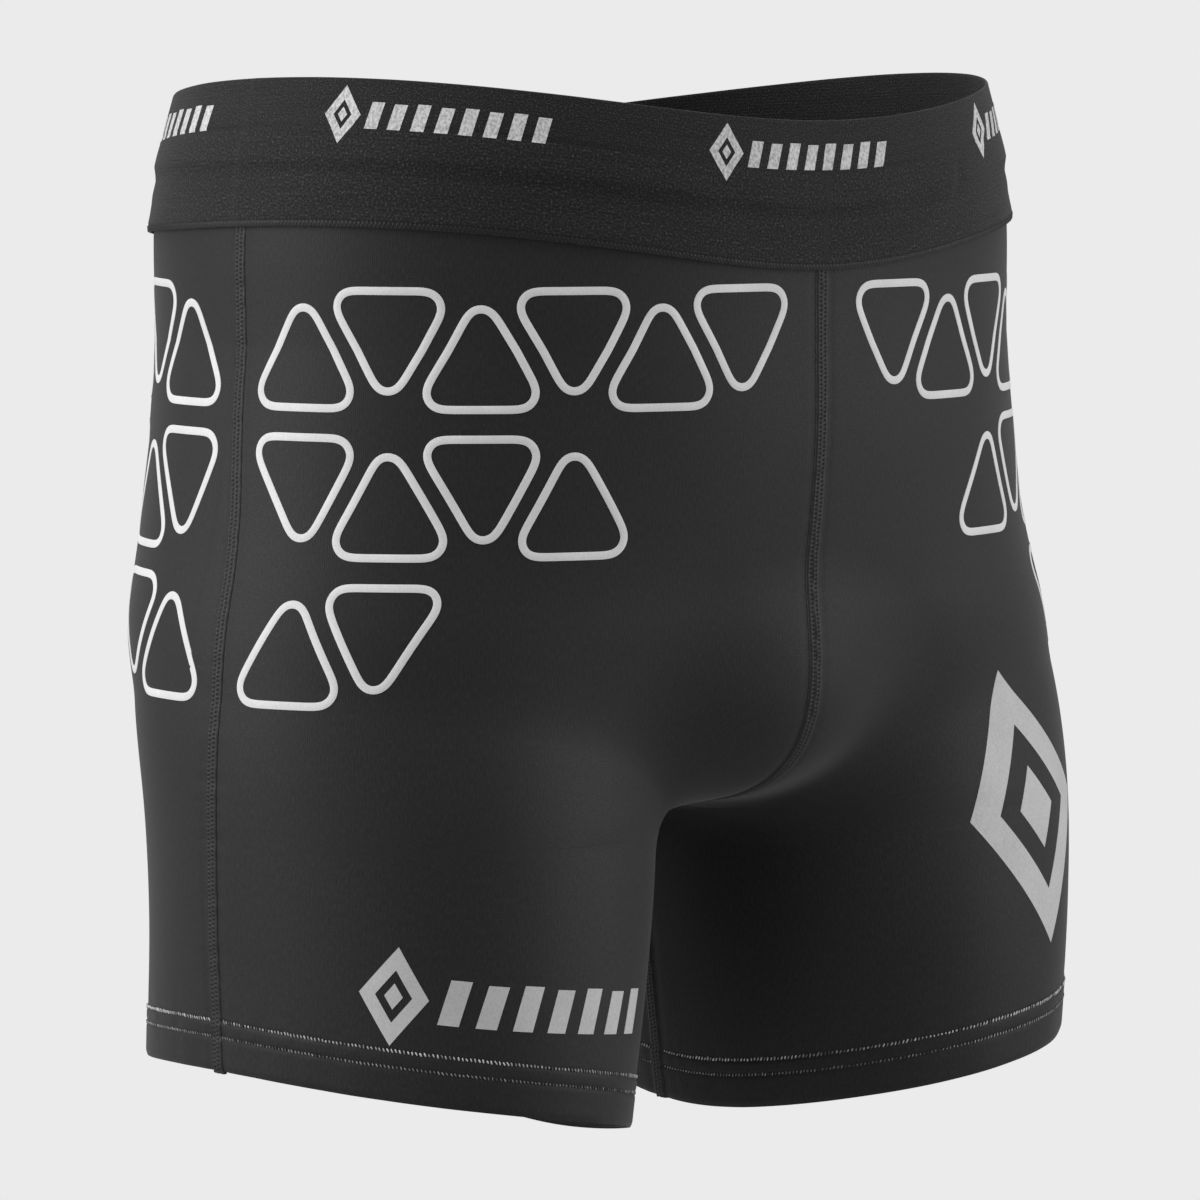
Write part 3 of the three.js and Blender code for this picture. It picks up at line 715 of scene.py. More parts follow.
# ----------------------------------------------------------------- waistband
# Height profile of the elastic: (mm above its lower edge, mm proud of the form).
BAND_H = [0, 1.2, 3.0, 6.0, 9.7, 13.0, 16.0, 17.6, 19.5, 22.6, 26.0, 31.0, 33.6, 36, 42, 46, 49.5]
BAND_P = [1.65, 1.85, 2.05, 1.65, 1.30, 1.25, 1.00, 0.90, 1.30, 2.30, 2.10, 1.60, 1.25, 1.35, 1.30, 1.20, 1.15]
BAND_ROWS = 66


def band_frame():
    """Columns of the waistband, from the front middle round the wearer's right side."""
    cf, cb = spaced(110, 0.2)[::-1], spaced(118, 0.2)
    cols = []
    for sign, c in ((1, cf), (-1, cb[1:])):
        cols.append((sign, c, low_z(c, sign, 0.0), top_z(c, sign, 0.0)))
    return cols


BAND_COLS = band_frame()


def band_points(share, dz=0.0):
    """Points on the form at a share of the waistband's height, all the way round."""
    out = []
    for sign, c, zb, zt in BAND_COLS:
        z = zb + (zt - zb) * share + dz / 1000
        out.append(place(column(c, z, sign, 0.0), z))
    half = np.concatenate(out)
    left = half[-2:0:-1].copy()
    left[:, 0] *= -1
    return np.concatenate([half, left])


def band_height():
    h = np.concatenate([zt - zb for _, _, zb, zt in BAND_COLS])
    return np.concatenate([h, h[-2:0:-1]]) * 1000


BAND_TALL = band_height()


def band_proud(p, h):
    """How far the elastic stands off, in mm, with its soft ridges and dents."""
    az = azimuth(p)
    s = az * 145
    base = np.interp(h, BAND_H, BAND_P)
    roll = 0.30 * wavy(s + 0.5 * h, 0.3, (88, 0.5), (51, 0.5), (33, 0.25)) * np.exp(-((h - 22) / 7) ** 2)
    roll = roll + 0.22 * wavy(s - 0.8 * h, 1.9, (64, 0.6), (37, 0.4)) * np.exp(-((h - 9) / 7) ** 2)
    roll = roll + 0.10 * wavy(s, 2.7, (72, 0.6), (29, 0.4)) * smooth((h - 30) / 10)
    roll = roll + 0.07 * wavy(s, 0.9, (6.1, 0.5), (8.9, 0.6)) * np.exp(-(h / 3.2) ** 2)
    # a short dent across the upper ridge, and the line where the knit changes
    for a0, h0, deep, wa, wh in ((0.565, 24.0, 0.55, 2.2, 5.5), (-0.62, 15.5, 0.6, 26, 6.0), (1.9, 20.0, 0.5, 14, 5.0), (-2.3, 21.0, 0.5, 15, 5.0)):
        roll = roll - deep * np.exp(-((az - a0) * 145 / wa) ** 2 - ((h - h0) / wh) ** 2)
    line = -0.22 * np.exp(-((h - 33.4 - 0.5 * np.sin(s / 37)) / 0.55) ** 2) + 0.16 * np.exp(-((h - 34.6 - 0.5 * np.sin(s / 37)) / 0.6) ** 2)
    return base + roll + line * (0.65 + 0.35 * np.sin(s / 23 + 1))


def band_lift(p, off):
    n = normals(p)
    out = p + n * (np.asarray(off) * 0.001)[..., None]
    out[..., 2] -= DATUM
    return out


def waistband(material):
    shares = np.linspace(0, 1, BAND_ROWS)
    shares = np.sort(np.concatenate([shares, [0.004, 0.010, 0.99, 0.996]]))
    p = np.stack([band_points(s) for s in shares])
    h = shares[:, None] * BAND_TALL[None, :]
    top = band_proud(p, h)
    edge = np.minimum(h, BAND_TALL[None, :] - h)
    fall = 0.62 * (1 - np.sqrt(np.clip(1 - (1 - np.clip(edge / 0.75, 0, 1)) ** 2, 0, 1)))
    low = np.interp(h, [0, 8.5, 12, 60], [0.40, 0.40, 0.02, 0.02]) + 0.5 * (top - np.interp(h, BAND_H, BAND_P)) * (h > 12)
    low = np.minimum(low + fall * 0.8, top - fall - 0.25)
    outer, inner = band_lift(p, top - fall), band_lift(p, low)
    v, q = shell(outer, inner, closed=True)
    s = np.concatenate([[0], np.cumsum(np.linalg.norm(np.diff(p[30], axis=0), axis=1))])
    uv = np.stack(np.broadcast_arrays(s[None, :], h / 1000), -1).reshape(-1, 2)
    o = make("band_elastic", v, q, material, uv=np.concatenate([uv, uv + [0, 0.1]]))
    return o, outer, s[-1]


def band_strip(name, h0, h1, rows, top, low, step, material, face):
    """A stitched line round the waistband between two heights."""
    dense = [evenly(band_points(0.0, h), step, closed=True)[0] for h in (h0, h1)]
    n = len(dense[0])
    a = dense[0]
    s1 = np.linspace(0, len(dense[1]), n, endpoint=False)
    k = s1.astype(int) % len(dense[1])
    b = dense[1][k] + (dense[1][(k + 1) % len(dense[1])] - dense[1][k]) * (s1 - s1.astype(int))[:, None]
    t = np.linspace(0, 1, rows)
    p = settle(a[None] * (1 - t[:, None, None]) + b[None] * t[:, None, None], 1)
    s = np.arange(n) * step * 1000
    h = h0 + (h1 - h0) * t[:, None] + 0 * s[None, :]
    base = band_proud(p, h) if face > 0 else np.full(h.shape, 0.0)
    tt, ss = np.broadcast_arrays(t[:, None] * 2 - 1, s[None, :])
    ht, hl = top(tt, ss), low(tt, ss)
    v, q = shell(band_lift(p, base + ht), band_lift(p, base + hl), closed=True)
    return make(name, v, q, material, marks={"relief": np.concatenate([np.ravel(ht), np.ravel(hl)])}, sharp=70)


# -------------------------------------------------------------------- prints
def outline(points, side, closed=True):
    """A printed outline as a smooth line on the form, from (arc, height) in mm."""
    q = np.array(points, float) / 1000
    if closed:
        q = evenly(q, 0.0004, closed=True)[0]
    else:
        q = evenly(q, 0.0004)[0]
    q = smoothed(q, 8.0, closed)
    p = place(q[:, 0], q[:, 1])
    p[:, 0] *= -side
    return evenly(p, 0.0010, closed)[0]


def ribbon(points, side, width, closed=True):
    line = outline(points, side, closed)
    edge = lambda t, s: 0.24 - 0.06 * (np.abs(t) > 0.97) + 0 * s
    return strip(line, width / 2000, [-1, -0.9, 0, 0.9, 1], edge, lambda t, s: -0.12 + 0 * (t + s), closed)


def patch(quad, at, step=1.1):
    """A flat patch with four corners (u, v in mm), laid on a surface by at(u, v, off)."""
    q = np.array(quad, float)
    nu = max(1, int(math.ceil(max(np.linalg.norm(q[1] - q[0]), np.linalg.norm(q[2] - q[3])) / step)))
    nv = max(1, int(math.ceil(max(np.linalg.norm(q[3] - q[0]), np.linalg.norm(q[2] - q[1])) / step)))
    a, b = np.linspace(0, 1, nu + 1)[None, :, None], np.linspace(0, 1, nv + 1)[:, None, None]
    w = (q[0] * (1 - a) + q[1] * a) * (1 - b) + (q[3] * (1 - a) + q[2] * a) * b
    v, f = shell(at(w[..., 0], w[..., 1], 1), at(w[..., 0], w[..., 1], 0))
    return v, f, {"relief": 0.1}


def mark_quads(high, long, bars, stroke):
    """A plain ornament: an open lozenge with a solid one inside, then slanted bars."""
    w = high * 0.36
    out, c = [], np.array([w, high * 0.5])
    big = np.array([[0, -high / 2], [w, 0], [0, high / 2], [-w, 0]])
    k = 1 - stroke / (w * 0.94)
    for i in range(4):
        j = (i + 1) % 4
        out.append([c + big[i], c + big[j], c + big[j] * k, c + big[i] * k])
    core = big * (0.50 * k)
    out.append([c + core[0], c + core[1], c + core[2], c + core[3]])
    if bars:
        x0 = 2 * w + high * 0.10
        pitch = (long - x0) / bars
        tall, lean = high * 0.46, high * 0.10
        low = high * 0.27
        for i in range(bars):
            x = x0 + i * pitch
            t = tall * (1 - 0.05 * (i % 2))
            out.append([(x, low), (x + pitch * 0.56, low), (x + pitch * 0.56 + lean, low + t), (x + lean, low + t)])
    return out


def on_panel(side, a0, z0, turn):
    c, s = math.cos(math.radians(turn)), math.sin(math.radians(turn))

    def at(u, v, face):
        p = place((a0 + u * c - v * s) / 1000, (z0 + u * s + v * c) / 1000)
        if side > 0:
            p[..., 0] *= -1
        return lift(p, np.full(u.shape, 0.13 if face else -0.12))
    return at


def on_left_panel(a0, z0, turn):
    """As on_panel, for the wearer's left: u runs away from the front middle."""
    c, s = math.cos(math.radians(turn)), math.sin(math.radians(turn))

    def at(u, v, face):
        p = place((a0 - u * c + v * s) / 1000, (z0 + u * s + v * c) / 1000)
        p[..., 0] *= -1
        return lift(p, np.full(u.shape, 0.13 if face else -0.12))
    return at


def on_band(grid, shares, s_grid, tall, s0, h0, turn=0.0):
    """u runs round the band towards the wearer's left, v up, on the elastic's own face."""
    c, s = math.cos(math.radians(turn)), math.sin(math.radians(turn))
    total = s_grid[-1]
    g = np.concatenate([grid, grid[:, :1]], 1)
    gu = np.gradient(g, axis=1)
    gv = np.gradient(g, axis=0)
    n = np.cross(gu, gv)
    n /= np.linalg.norm(n, axis=-1, keepdims=True)
    mid = g[30] - g[30].mean(0)
    if (n[30] * mid).sum() < 0:
        n = -n

    def at(u, v, face):
        x = (s0 - (u * c - v * s)) % total
        h = np.interp(x, s_grid, tall) + h0 + u * s + v * c
        share = h / np.interp(x, s_grid, tall)
        j = np.interp(x, s_grid, np.arange(len(s_grid)))
        j0 = np.clip(j.astype(int), 0, g.shape[1] - 2)
        fj = (j - j0)[..., None]
        i = np.interp(share, shares, np.arange(len(shares)))
        i0 = np.clip(i.astype(int), 0, g.shape[0] - 2)
        fi = (i - i0)[..., None]

        def mix(m):
            return (m[i0, j0] * (1 - fj) + m[i0, j0 + 1] * fj) * (1 - fi) + (m[i0 + 1, j0] * (1 - fj) + m[i0 + 1, j0 + 1] * fj) * fi
        return mix(g) + mix(n) * (0.00014 if face else -0.00012)
    return at

# ----------------------------------------------------------------- materials
def shader(name, rough, specular, sheen=0.0, sheen_rough=0.5):
    m = bpy.data.materials.new(name)
    m.use_nodes = True
    t = m.node_tree
    b = t.nodes["Principled BSDF"]
    b.inputs["Roughness"].default_value = rough
    b.inputs["Specular IOR Level"].default_value = specular
    b.inputs["Sheen Weight"].default_value = sheen
    b.inputs["Sheen Roughness"].default_value = sheen_rough
    return m, t, b


def node(t, kind, inputs=None, **props):
    n = t.nodes.new(kind)
    for k, v in props.items():
        setattr(n, k, v)
    for k, v in (inputs or {}).items():
        if isinstance(v, tuple) and len(v) == 2 and hasattr(v[0], "outputs"):
            t.links.new(v[0].outputs[v[1]], n.inputs[k])
        else:
            n.inputs[k].default_value = v
    return n


def noise(t, vec, scale, detail=2.0, rough=0.5):
    return node(t, "ShaderNodeTexNoise", {"Vector": vec, "Scale": scale, "Detail": detail, "Roughness": rough})


def ramp(t, fac, stops):
    n = node(t, "ShaderNodeValToRGB", {"Fac": fac})
    e = n.color_ramp.elements
    while len(e) < len(stops):
        e.new(0.5)
    for x, (pos, c) in zip(e, stops):
        x.position = pos
        x.color = (*c, 1) if isinstance(c, tuple) else (c, c, c, 1)
    return n


def mixed(t, kind, fac, a, b):
    n = t.nodes.new("ShaderNodeMix")
    n.data_type = "RGBA"
    n.blend_type = kind
    for i, v in ((0, fac), (6, a), (7, b)):
        if isinstance(v, tuple) and hasattr(v[0], "outputs"):
            t.links.new(v[0].outputs[v[1]], n.inputs[i])
        elif i:
            n.inputs[i].default_value = (*v, 1) if isinstance(v, tuple) else (v, v, v, 1)
        else:
            n.inputs[i].default_value = v
    return n, 2


def maths(t, op, a, b=0.0, c=None):
    n = t.nodes.new("ShaderNodeMath")
    n.operation = op
    for i, v in ((0, a), (1, b), (2, c)):
        if v is None:
            continue
        if isinstance(v, tuple):
            t.links.new(v[0].outputs[v[1]], n.inputs[i])
        else:
            n.inputs[i].default_value = v
    return n, 0


def cloth_uv(t, sx, sy):
    u = node(t, "ShaderNodeUVMap", uv_map="cloth")
    return node(t, "ShaderNodeMapping", {"Vector": (u, 0), "Scale": (sx, sy, 1.0)}), 0


def space(t, s=(1, 1, 1)):
    c = node(t, "ShaderNodeTexCoord")
    return node(t, "ShaderNodeMapping", {"Vector": (c, "Object"), "Scale": s}), 0


def knit_material():
    m, t, b = shader("cloth_knit", 0.6, 0.26, 0.16, 0.38)
    wales = noise(t, cloth_uv(t, 1500, 420), 1.0, 2.0, 0.55)
    speck = noise(t, cloth_uv(t, 1900, 1700), 1.0, 1.0)
    cloud = noise(t, space(t), 22.0, 3.0)
    base = ramp(t, (wales, 0), [(0.30, (0.0130, 0.0131, 0.0136)), (0.55, (0.0180, 0.0181, 0.0187)), (0.78, (0.0250, 0.0251, 0.0258))])
    flecks = ramp(t, (speck, 0), [(0.64, 0.0), (0.80, 0.026)])
    c = mixed(t, "ADD", 1.0, (base, 0), (flecks, 0))
    shade = ramp(t, (cloud, 0), [(0.32, 0.93), (0.68, 1.06)])
    c = mixed(t, "MULTIPLY", 1.0, c, (shade, 0))
    t.links.new(c[0].outputs[c[1]], b.inputs["Base Color"])
    r = ramp(t, (speck, 0), [(0.3, 0.52), (0.7, 0.66)])
    t.links.new(r.outputs[0], b.inputs["Roughness"])
    u = node(t, "ShaderNodeUVMap", uv_map="cloth")
    sep = node(t, "ShaderNodeSeparateXYZ", {0: (u, 0)})
    rib = maths(t, "SINE", maths(t, "MULTIPLY", (sep, 0), 2 * math.pi / 0.00072))
    course = maths(t, "SINE", maths(t, "MULTIPLY", (sep, 1), 2 * math.pi / 0.00062))
    weave = maths(t, "MULTIPLY", maths(t, "ADD", rib, maths(t, "MULTIPLY", course, 0.5)), 0.20)
    h = maths(t, "ADD", weave, (wales, 0))
    bump = node(t, "ShaderNodeBump", {"Height": h, "Strength": 0.30, "Distance": 0.00016})
    t.links.new(bump.outputs[0], b.inputs["Normal"])
    return m


def elastic_material():
    m, t, b = shader("elastic_knit", 0.75, 0.22, 0.14, 0.42)
    u = node(t, "ShaderNodeUVMap", uv_map="cloth")
    sep = node(t, "ShaderNodeSeparateXYZ", {0: (u, 0)})
    high = maths(t, "DIVIDE", maths(t, "SUBTRACT", (sep, 1), 0.0325), 0.003)
    fine = node(t, "ShaderNodeClamp", {0: high})
    grain = noise(t, cloth_uv(t, 1250, 1250), 1.0, 2.0, 0.6)
    small = noise(t, cloth_uv(t, 1900, 2000), 1.0, 1.0)
    g = node(t, "ShaderNodeMix", data_type="FLOAT")
    t.links.new(fine.outputs[0], g.inputs[0])
    t.links.new(grain.outputs[0], g.inputs[2])
    t.links.new(small.outputs[0], g.inputs[3])
    base = ramp(t, (g, 0), [(0.36, (0.0085, 0.0086, 0.0090)), (0.52, (0.0155, 0.0156, 0.0162)), (0.64, (0.0330, 0.0332, 0.0340)), (0.76, (0.105, 0.105, 0.107))])
    rows = noise(t, cloth_uv(t, 14, 420), 1.0, 2.0, 0.6)
    band = ramp(t, (rows, 0), [(0.30, 0.88), (0.70, 1.10)])
    c = mixed(t, "MULTIPLY", 1.0, (base, 0), (band, 0))
    t.links.new(c[0].outputs[c[1]], b.inputs["Base Color"])
    r = ramp(t, (grain, 0), [(0.3, 0.85), (0.7, 0.66)])
    t.links.new(r.outputs[0], b.inputs["Roughness"])
    rib = maths(t, "SINE", maths(t, "MULTIPLY", (sep, 1), 2 * math.pi / 0.00118))
    h = maths(t, "ADD", maths(t, "MULTIPLY", rib, 0.12), maths(t, "ADD", (g, 0), maths(t, "MULTIPLY", (rows, 0), 0.5)))
    bump = node(t, "ShaderNodeBump", {"Height": h, "Strength": 0.55, "Distance": 0.00038})
    t.links.new(bump.outputs[0], b.inputs["Normal"])
    return m


def thread_painted_shade_highlight(name, dark, light, lo, hi):
    """Twisted thread, its colour set by the relief attribute: painted shade between the stitches, where the relief is
    low, and a painted highlight on their crowns, where it is high.
    """
    m, t, b = shader(name, 0.5, 0.4, 0.12, 0.4)
    a = node(t, "ShaderNodeAttribute", attribute_name="relief")
    mr = node(t, "ShaderNodeMapRange", {0: (a, 2), 1: lo, 2: hi})
    twist = noise(t, space(t, (1500, 1500, 1500)), 1.0, 2.0)
    f = maths(t, "MULTIPLY", (mr, 0), maths(t, "ADD", maths(t, "MULTIPLY", (twist, 0), 0.7), 0.65))
    base = ramp(t, f, [(0.0, dark), (0.45, tuple(0.5 * (x + y) for x, y in zip(dark, light))), (1.0, light)])
    t.links.new(base.outputs[0], b.inputs["Base Color"])
    r = ramp(t, (twist, 0), [(0.3, 0.45), (0.7, 0.66)])
    t.links.new(r.outputs[0], b.inputs["Roughness"])
    bump = node(t, "ShaderNodeBump", {"Height": (twist, 0), "Strength": 0.35, "Distance": 0.00012})
    t.links.new(bump.outputs[0], b.inputs["Normal"])
    return m


def tick_material(name, dark, light):
    m, t, b = shader(name, 0.45, 0.4, 0.1, 0.4)
    a = node(t, "ShaderNodeAttribute", attribute_name="tone")
    twist = noise(t, space(t, (2200, 2200, 2200)), 1.0, 2.0)
    f = maths(t, "MULTIPLY", (a, 2), maths(t, "ADD", maths(t, "MULTIPLY", (twist, 0), 0.8), 0.6))
    base = ramp(t, f, [(0.15, dark), (1.0, light)])
    t.links.new(base.outputs[0], b.inputs["Base Color"])
    r = ramp(t, (twist, 0), [(0.3, 0.4), (0.7, 0.6)])
    t.links.new(r.outputs[0], b.inputs["Roughness"])
    return m


def print_material(name, tone, grain, scale, rough, depth):
    m, t, b = shader(name, rough, 0.25)
    fine = noise(t, space(t, (scale, scale, scale * 0.8)), 1.0, 2.0)
    wide = noise(t, space(t), 55.0, 3.0)
    lo, hi = tone * (1 - grain), tone * (1 + grain * 0.6)
    base = ramp(t, (fine, 0), [(0.34, (lo, lo, lo * 1.005)), (0.62, (hi, hi, hi * 1.005))])
    shade = ramp(t, (wide, 0), [(0.35, 0.94), (0.65, 1.03)])
    c = mixed(t, "MULTIPLY", 1.0, (base, 0), (shade, 0))
    t.links.new(c[0].outputs[c[1]], b.inputs["Base Color"])
    r = ramp(t, (fine, 0), [(0.3, rough + 0.08), (0.7, rough - 0.06)])
    t.links.new(r.outputs[0], b.inputs["Roughness"])
    bump = node(t, "ShaderNodeBump", {"Height": (fine, 0), "Strength": 0.4, "Distance": depth})
    t.links.new(bump.outputs[0], b.inputs["Normal"])
    return m


# --------------------------------------------------------------------- pieces
rng = np.random.default_rng(7)
KNIT, ELASTIC = knit_material(), elastic_material()
# The thread materials paint shade into the pits between stitches and a highlight on their crowns, from each piece's
# relief attribute.
THREAD = thread_painted_shade_highlight("seam_thread", (0.0008, 0.0008, 0.001), (0.0165, 0.0165, 0.017), 0.06, 0.40)
THREAD_EDGE = thread_painted_shade_highlight("edge_thread", (0.003, 0.003, 0.0033), (0.030, 0.030, 0.031), 0.10, 0.75)
THREAD_IN = thread_painted_shade_highlight("cover_thread", (0.012, 0.012, 0.013), (0.16, 0.16, 0.165), -2.9, -2.3)
# Both hem rows are one thread; the lower row's material is the upper's at half the brightness, which is painted shade.
TICK_UP = tick_material("hem_thread_upper", (0.07, 0.07, 0.072), (0.72, 0.72, 0.73))
TICK_LOW_PAINTED_SHADE = tick_material("hem_thread_lower_painted_shade", (0.035, 0.035, 0.037), (0.36, 0.36, 0.37))
PRINT = print_material("print_outline", 0.83, 0.05, 1500, 0.62, 0.00005)
MARK = print_material("print_mark", 0.60, 0.07, 1300, 0.62, 0.00006)
WOVEN = print_material("woven_mark", 0.64, 0.32, 1150, 0.8, 0.0003)

sheets = {}
for side, word in ((RIGHT, "right"), (LEFT, "left")):
    for sign, place_word in ((1, "front"), (-1, "back")):
        cad_name = f"{place_word}_panel_{word}"
        o, area, size = panel("cloth_" + cad_name, side, sign, KNIT)
        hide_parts(cad_name)
        sheets[cad_name] = (o, area, size)
    o, area, ring = turnup(f"cloth_turnup_{word}", side, KNIT)
    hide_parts(f"hem_turnup_{word}")
    # the lower row takes the half-bright thread, painted shade
    for row, h, size3, rise, mat, angle in (("upper", 17.6, (1.45, 0.55, 0.52), 0.34, TICK_UP, 62), ("lower", 12.0, (1.20, 0.46, 0.45), 0.24, TICK_LOW_PAINTED_SHADE, 58)):
        o = ticks(f"ticks_{row}_{word}", side, h, 1.42, size3, angle, rise, rng, mat)
        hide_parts(f"hem_stitch_{row}_{word}")
    ring_line = evenly(leg_ring(14.8, side), 0.00035, closed=True)[0]
    v, q, m = strip(ring_line, 0.0040, np.linspace(-1, 1, 15), lambda t, s: -2.30 + 0.06 * looper(t, s),
                    lambda t, s: -2.42 - 0.42 * looper(t, s), closed=True)
    m["relief"] = -m["relief"] * 0 - 2.9 + 0.6 * (np.abs(m["relief"] + 2.42) > 0.05)
    o = make(f"cover_stitch_{word}", v, q, THREAD_IN, marks=m, sharp=80)
    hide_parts(f"hem_stitch_inner_{word}")

STEP_S = 0.00024
zs = [float(low_z(np.array([0.0]), 1, 0.0)[0]), float(low_z(np.array([1.0]), 1, 0.0)[0]), float(low_z(np.array([1.0]), -1, 0.0)[0])]
for side, word in ((RIGHT, "right"), (LEFT, "left")):
    zh = float(hem_z(np.array([0.0]), 1, 0.0)[0])
    o = flat_seam(f"flatlock_side_{word}", seam_line_side(side, zh - 0.0008, zs[0] + 0.0004, STEP_S), THREAD)
    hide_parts(f"side_seam_{word}")
for sign, word, zt in ((1, "front", zs[1]), (-1, "back", zs[2])):
    o = flat_seam(f"flatlock_centre_{word}", seam_line_middle(sign, zt + 0.0004, STEP_S, 0.0022), THREAD)
    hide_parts(f"centre_{word}_seam")
o = flat_seam("flatlock_inseam", seam_line_inner(STEP_S), THREAD)
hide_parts("inseam")

band, band_grid, band_len = waistband(ELASTIC)
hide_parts("waistband_elastic")
zig = lambda t, s: 0.16 + 0.26 * np.exp(-((t - 0.9 * (np.abs(((s / 1.5) % 1) * 2 - 1) * 2 - 1)) / 0.34) ** 2)
o = band_strip("band_edge_stitch", 0.15, 2.0, 9, zig, lambda t, s: -0.25 + 0 * (t + s), 0.00025, THREAD_EDGE, 1)
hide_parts("waistband_stitch_outer")
lace = lambda t, s: -CLOTH - 0.30 + 0 * (t + s)
lace_in = lambda t, s: -CLOTH - 0.42 - 0.42 * looper(t, s)
o = band_strip("band_inner_stitch", 0.8, 6.6, 13, lace, lace_in, 0.0004, THREAD_EDGE, -1)
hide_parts("waistband_stitch_inner")

# the elastic's ends, joined at the back middle with a bar of close zigzag
zb, zt = zs[2], float(top_z(np.array([1.0]), -1, 0.0)[0])
zz = np.linspace(zb + 0.0032, zt - 0.0012, 700)
line = place(-back_len(zz), zz)
line[:, 0] = 0
line = evenly(line, 0.00028)[0]
prof = np.interp((line[:, 2] - zb) * 1000, BAND_H, BAND_P)
tt, ss = np.linspace(-1, 1, 17)[None, :], (np.arange(len(line)) * 0.28)[:, None]
tan = np.gradient(line, axis=0)
tan /= np.linalg.norm(tan, axis=1, keepdims=True)
bi = np.cross(normals(line), tan)
p = settle(line[:, None] + bi[:, None] * (tt * 0.0026)[..., None], 2)
proud = band_proud(p, np.broadcast_to((line[:, 2:3] - zb) * 1000, p.shape[:2]))
zag = 0.30 + 0.34 * np.exp(-((tt - (np.abs(((ss / 1.7) % 1) * 2 - 1) * 2 - 1) * 0.85) / 0.22) ** 2)
v, q = shell(band_lift(p, proud + zag), band_lift(p, proud - 0.3 + 0 * zag))
o = make("band_join_stitch", v, q, THREAD_EDGE, marks={"relief": np.concatenate([zag.ravel(), 0 * zag.ravel()])}, sharp=70)
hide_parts("waistband_join_stitch")

# The knit is cut smaller than it is worn: about a seventh narrower, hardly shorter. The loop below only finds each
# panel's widest arc, which nothing uses.
for key, (o, area, size) in sheets.items():
    sign = 1 if key.startswith("front") else -1
    widest = float(max(length(z, sign) for z in np.linspace(0.02, 0.32, 61)))

# ---------------------------------------------------- printed outlines, (arc, height)
# A plain regular ornament: equal rounded triangles, turned up and down by turns, in
# level rows that grow shorter downwards. All four panels carry the same rows.
TRI_SIDE, TRI_TALL, TRI_PITCH, TRI_FIRST = 46.0, 40.0, 32.0, 30.0
TRI_ROWS = [(6, 240.0), (4, 190.0), (2, 140.0)]      # how many, height of the row


def triangles(sign):
    out = []
    for k, (count, low) in enumerate(TRI_ROWS):
        for i in range(count):
            c, up = TRI_FIRST + TRI_PITCH * i, (i + k) % 2 == 0
            flat, tip = (low, low + TRI_TALL) if up else (low + TRI_TALL, low)
            corner = [(c - TRI_SIDE / 2, flat), (c, tip), (c + TRI_SIDE / 2, flat)]
            line = []
            for a, b in zip(corner, corner[1:] + corner[:1]):
                line += [(sign * (a[0] + (b[0] - a[0]) * t), a[1] + (b[1] - a[1]) * t)
                         for t in (0.14, 0.32, 0.5, 0.68, 0.86)]
            out.append(line)
    return out


def prints(name, cells, side, extra=()):
    parts = [ribbon(c, side, 2.75) for c in cells] + list(extra)
    v, q, m = join(parts)
    o = make(name, v, q, PRINT, sharp=40)
    return o


for word, side in (("right", RIGHT), ("left", LEFT)):
    prints(f"outlines_front_{word}", triangles(1), side)
    prints(f"outlines_back_{word}", triangles(-1), side)

# ------------------------------------------------------- plain printed ornaments
def ornament(name, quads, at, material):
    parts = [patch(qd, at) for qd in quads]
    v, q, m = join(parts)
    o = make(name, v, q, material, sharp=40)
    return o


ornament("ornament_thigh_right", mark_quads(34.0, 119.0, 7, 5.4), on_panel(RIGHT, 62.5, 27.5, -6.2), MARK)
big = mark_quads(100.0, 0, 0, 13.5)
ornament("ornament_thigh_left", big, on_left_panel(153.0, 36.5, 5.0), MARK)

shares_b = np.sort(np.concatenate([np.linspace(0, 1, BAND_ROWS), [0.004, 0.010, 0.99, 0.996]]))
ring = np.concatenate([band_grid[30], band_grid[30][:1]])
s_ring = np.concatenate([[0], np.cumsum(np.linalg.norm(np.diff(ring, axis=0), axis=1))]) * 1000


tall_ring = np.concatenate([BAND_TALL, BAND_TALL[:1]])
parts = []
for k in range(6):
    at = on_band(band_grid, shares_b, s_ring, tall_ring, MARK_S0 + (2 - k) * MARK_REPEAT, MARK_H0)
    parts += [patch(qd, at, 0.9) for qd in mark_quads(19.7, 84.0, 8, 3.3)]
v, q, m = join(parts)
o = make("woven_ornaments", v, q, WOVEN, sharp=40)

# --------------------------------------------------------------------- studio
def stage_material(name, value, seen):
    m = bpy.data.materials.new(name)
    m.use_nodes = True
    t = m.node_tree
    t.nodes.clear()
    out = t.nodes.new("ShaderNodeOutputMaterial")
    e = t.nodes.new("ShaderNodeEmission")
    e.inputs["Color"].default_value = (value, value, value, 1)
    e.inputs["Strength"].default_value = seen
    t.links.new(e.outputs[0], out.inputs[0])
    return m


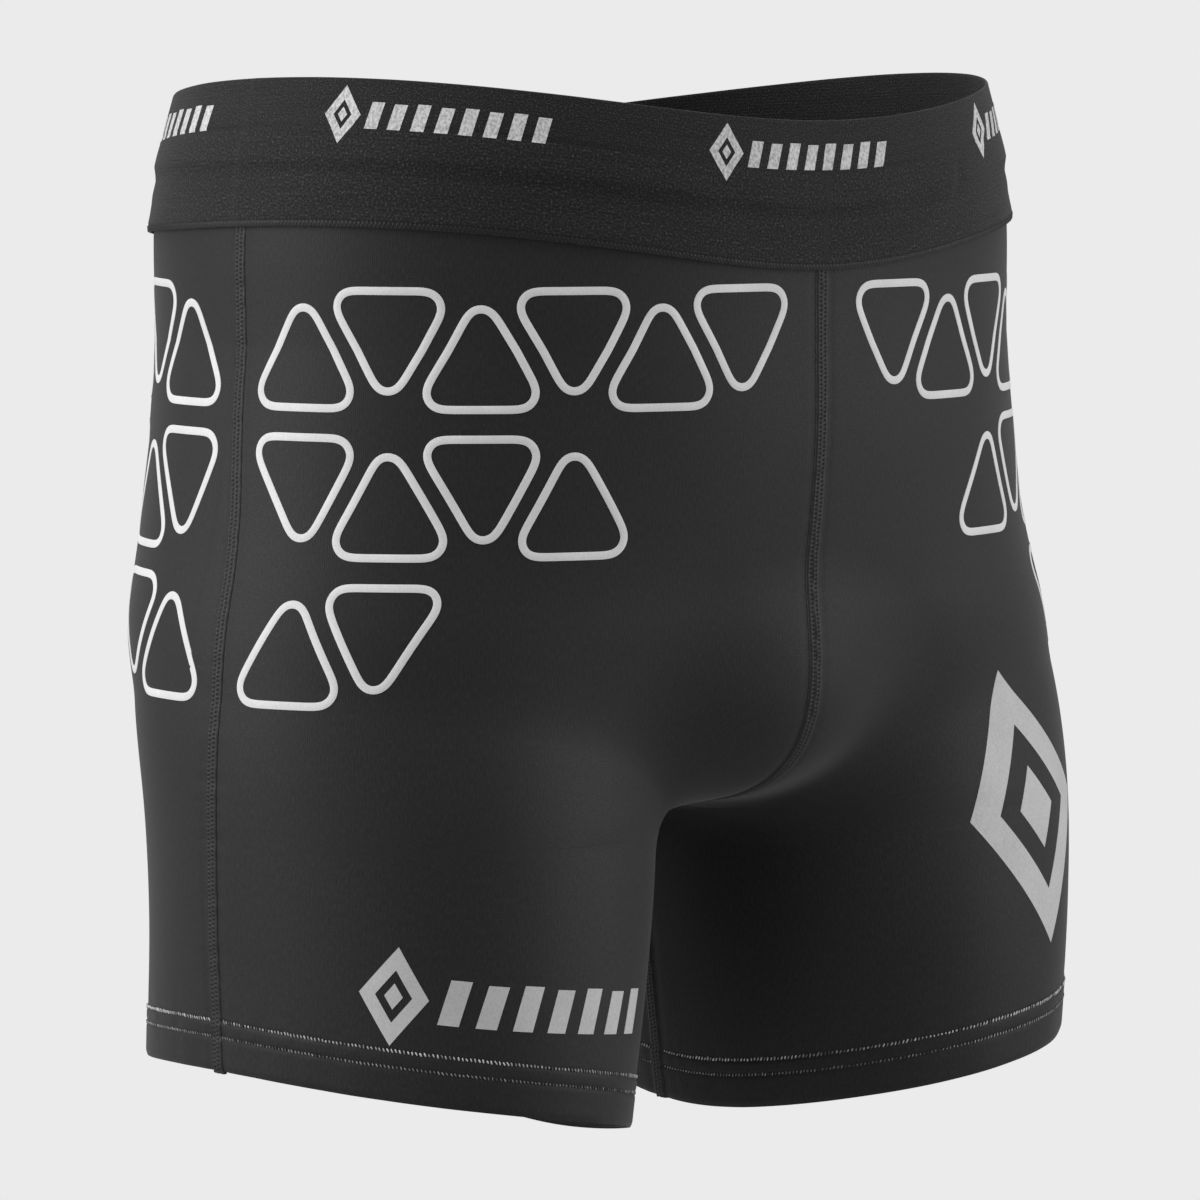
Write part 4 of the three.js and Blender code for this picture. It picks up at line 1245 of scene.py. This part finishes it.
def studio_room():
    """A round cove: a pale floor that runs up into a pale wall and ceiling."""
    floor = float(cad[0][2]) - 0.20
    prof = [(0.0, floor), (2, floor), (6, floor), (10.5, floor)]
    prof += [(10.5 + 1.5 * math.sin(a), floor + 1.5 - 1.5 * math.cos(a)) for a in np.linspace(0.15, math.pi / 2, 10)]
    prof += [(12 * math.cos(a), floor + 1.5 + 12 * math.sin(a)) for a in np.linspace(0.05, math.pi / 2, 18)]
    n = 64
    v, f = [], []
    for r, z in prof[1:-1]:
        for k in range(n):
            v.append((r * math.cos(2 * math.pi * k / n), r * math.sin(2 * math.pi * k / n), z))
    rows = len(prof) - 2
    for i in range(rows - 1):
        for k in range(n):
            f.append((i * n + k, i * n + (k + 1) % n, (i + 1) * n + (k + 1) % n, (i + 1) * n + k))
    v += [(0, 0, floor), (0, 0, prof[-1][1])]
    for k in range(n):
        f.append((len(v) - 2, (k + 1) % n, k))
        f.append((len(v) - 1, (rows - 1) * n + k, (rows - 1) * n + (k + 1) % n))
    me = bpy.data.meshes.new("studio")
    me.from_pydata(v, [], f)
    me.materials.append(stage_material("studio_pale", 0.830, BACKDROP))
    o = bpy.data.objects.new("studio", me)
    bpy.context.scene.collection.objects.link(o)
    for attr in ("visible_diffuse", "visible_glossy", "visible_transmission", "visible_shadow", "visible_volume_scatter"):
        setattr(o, attr, False)


studio_room()
world = bpy.data.worlds.new("world")
bpy.context.scene.world = world
world.use_nodes = True
world.node_tree.nodes["Background"].inputs[0].default_value = (1, 1, 1, 1)
world.node_tree.nodes["Background"].inputs[1].default_value = AMBIENT

bpy.context.scene.view_settings.view_transform = "Standard"

AZ, EL = math.radians(-41.486), math.radians(4.3875)
BACK_DIR = np.array([math.sin(AZ) * math.cos(EL), -math.cos(AZ) * math.cos(EL), math.sin(EL)])
RIGHT_DIR = np.array([math.cos(AZ), math.sin(AZ), 0.0])
UP_DIR = np.cross(BACK_DIR, RIGHT_DIR)
AIM = np.array([0.0, 0.0, -0.172])


def lamp(name, right, up, back, size, power, size_y=None, aim=(0, 0, 0)):
    d = bpy.data.lights.new(name, "AREA")
    d.shape, d.size, d.size_y, d.energy = "RECTANGLE", size, size_y or size, power
    o = bpy.data.objects.new(name, d)
    pos = AIM + RIGHT_DIR * right + UP_DIR * up + BACK_DIR * back
    o.location = pos
    at = AIM + np.array(aim)
    o.rotation_mode = "QUATERNION"
    o.rotation_quaternion = Vector(at - pos).to_track_quat("-Z", "Y")
    bpy.context.scene.collection.objects.link(o)
    return o


for args in LAMPS:
    lamp(*args)

FOCAL = 7374.7
cam_data = bpy.data.cameras.new("camera")
cam = bpy.data.objects.new("camera", cam_data)
bpy.context.scene.collection.objects.link(cam)
cam_data.sensor_width = 36.0
cam_data.lens = FOCAL / 1200 * 36.0
cam_data.clip_start, cam_data.clip_end = 0.1, 60
cam.location = (-1.74605, -1.97452, 0.03024)
look = -BACK_DIR * FOCAL + RIGHT_DIR * (600 - 589.914) - UP_DIR * (600 - 583.321)
cam.rotation_mode = "QUATERNION"
cam.rotation_quaternion = Vector(look).to_track_quat("-Z", "Y")
bpy.context.scene.camera = cam
cam_data.dof.use_dof = False
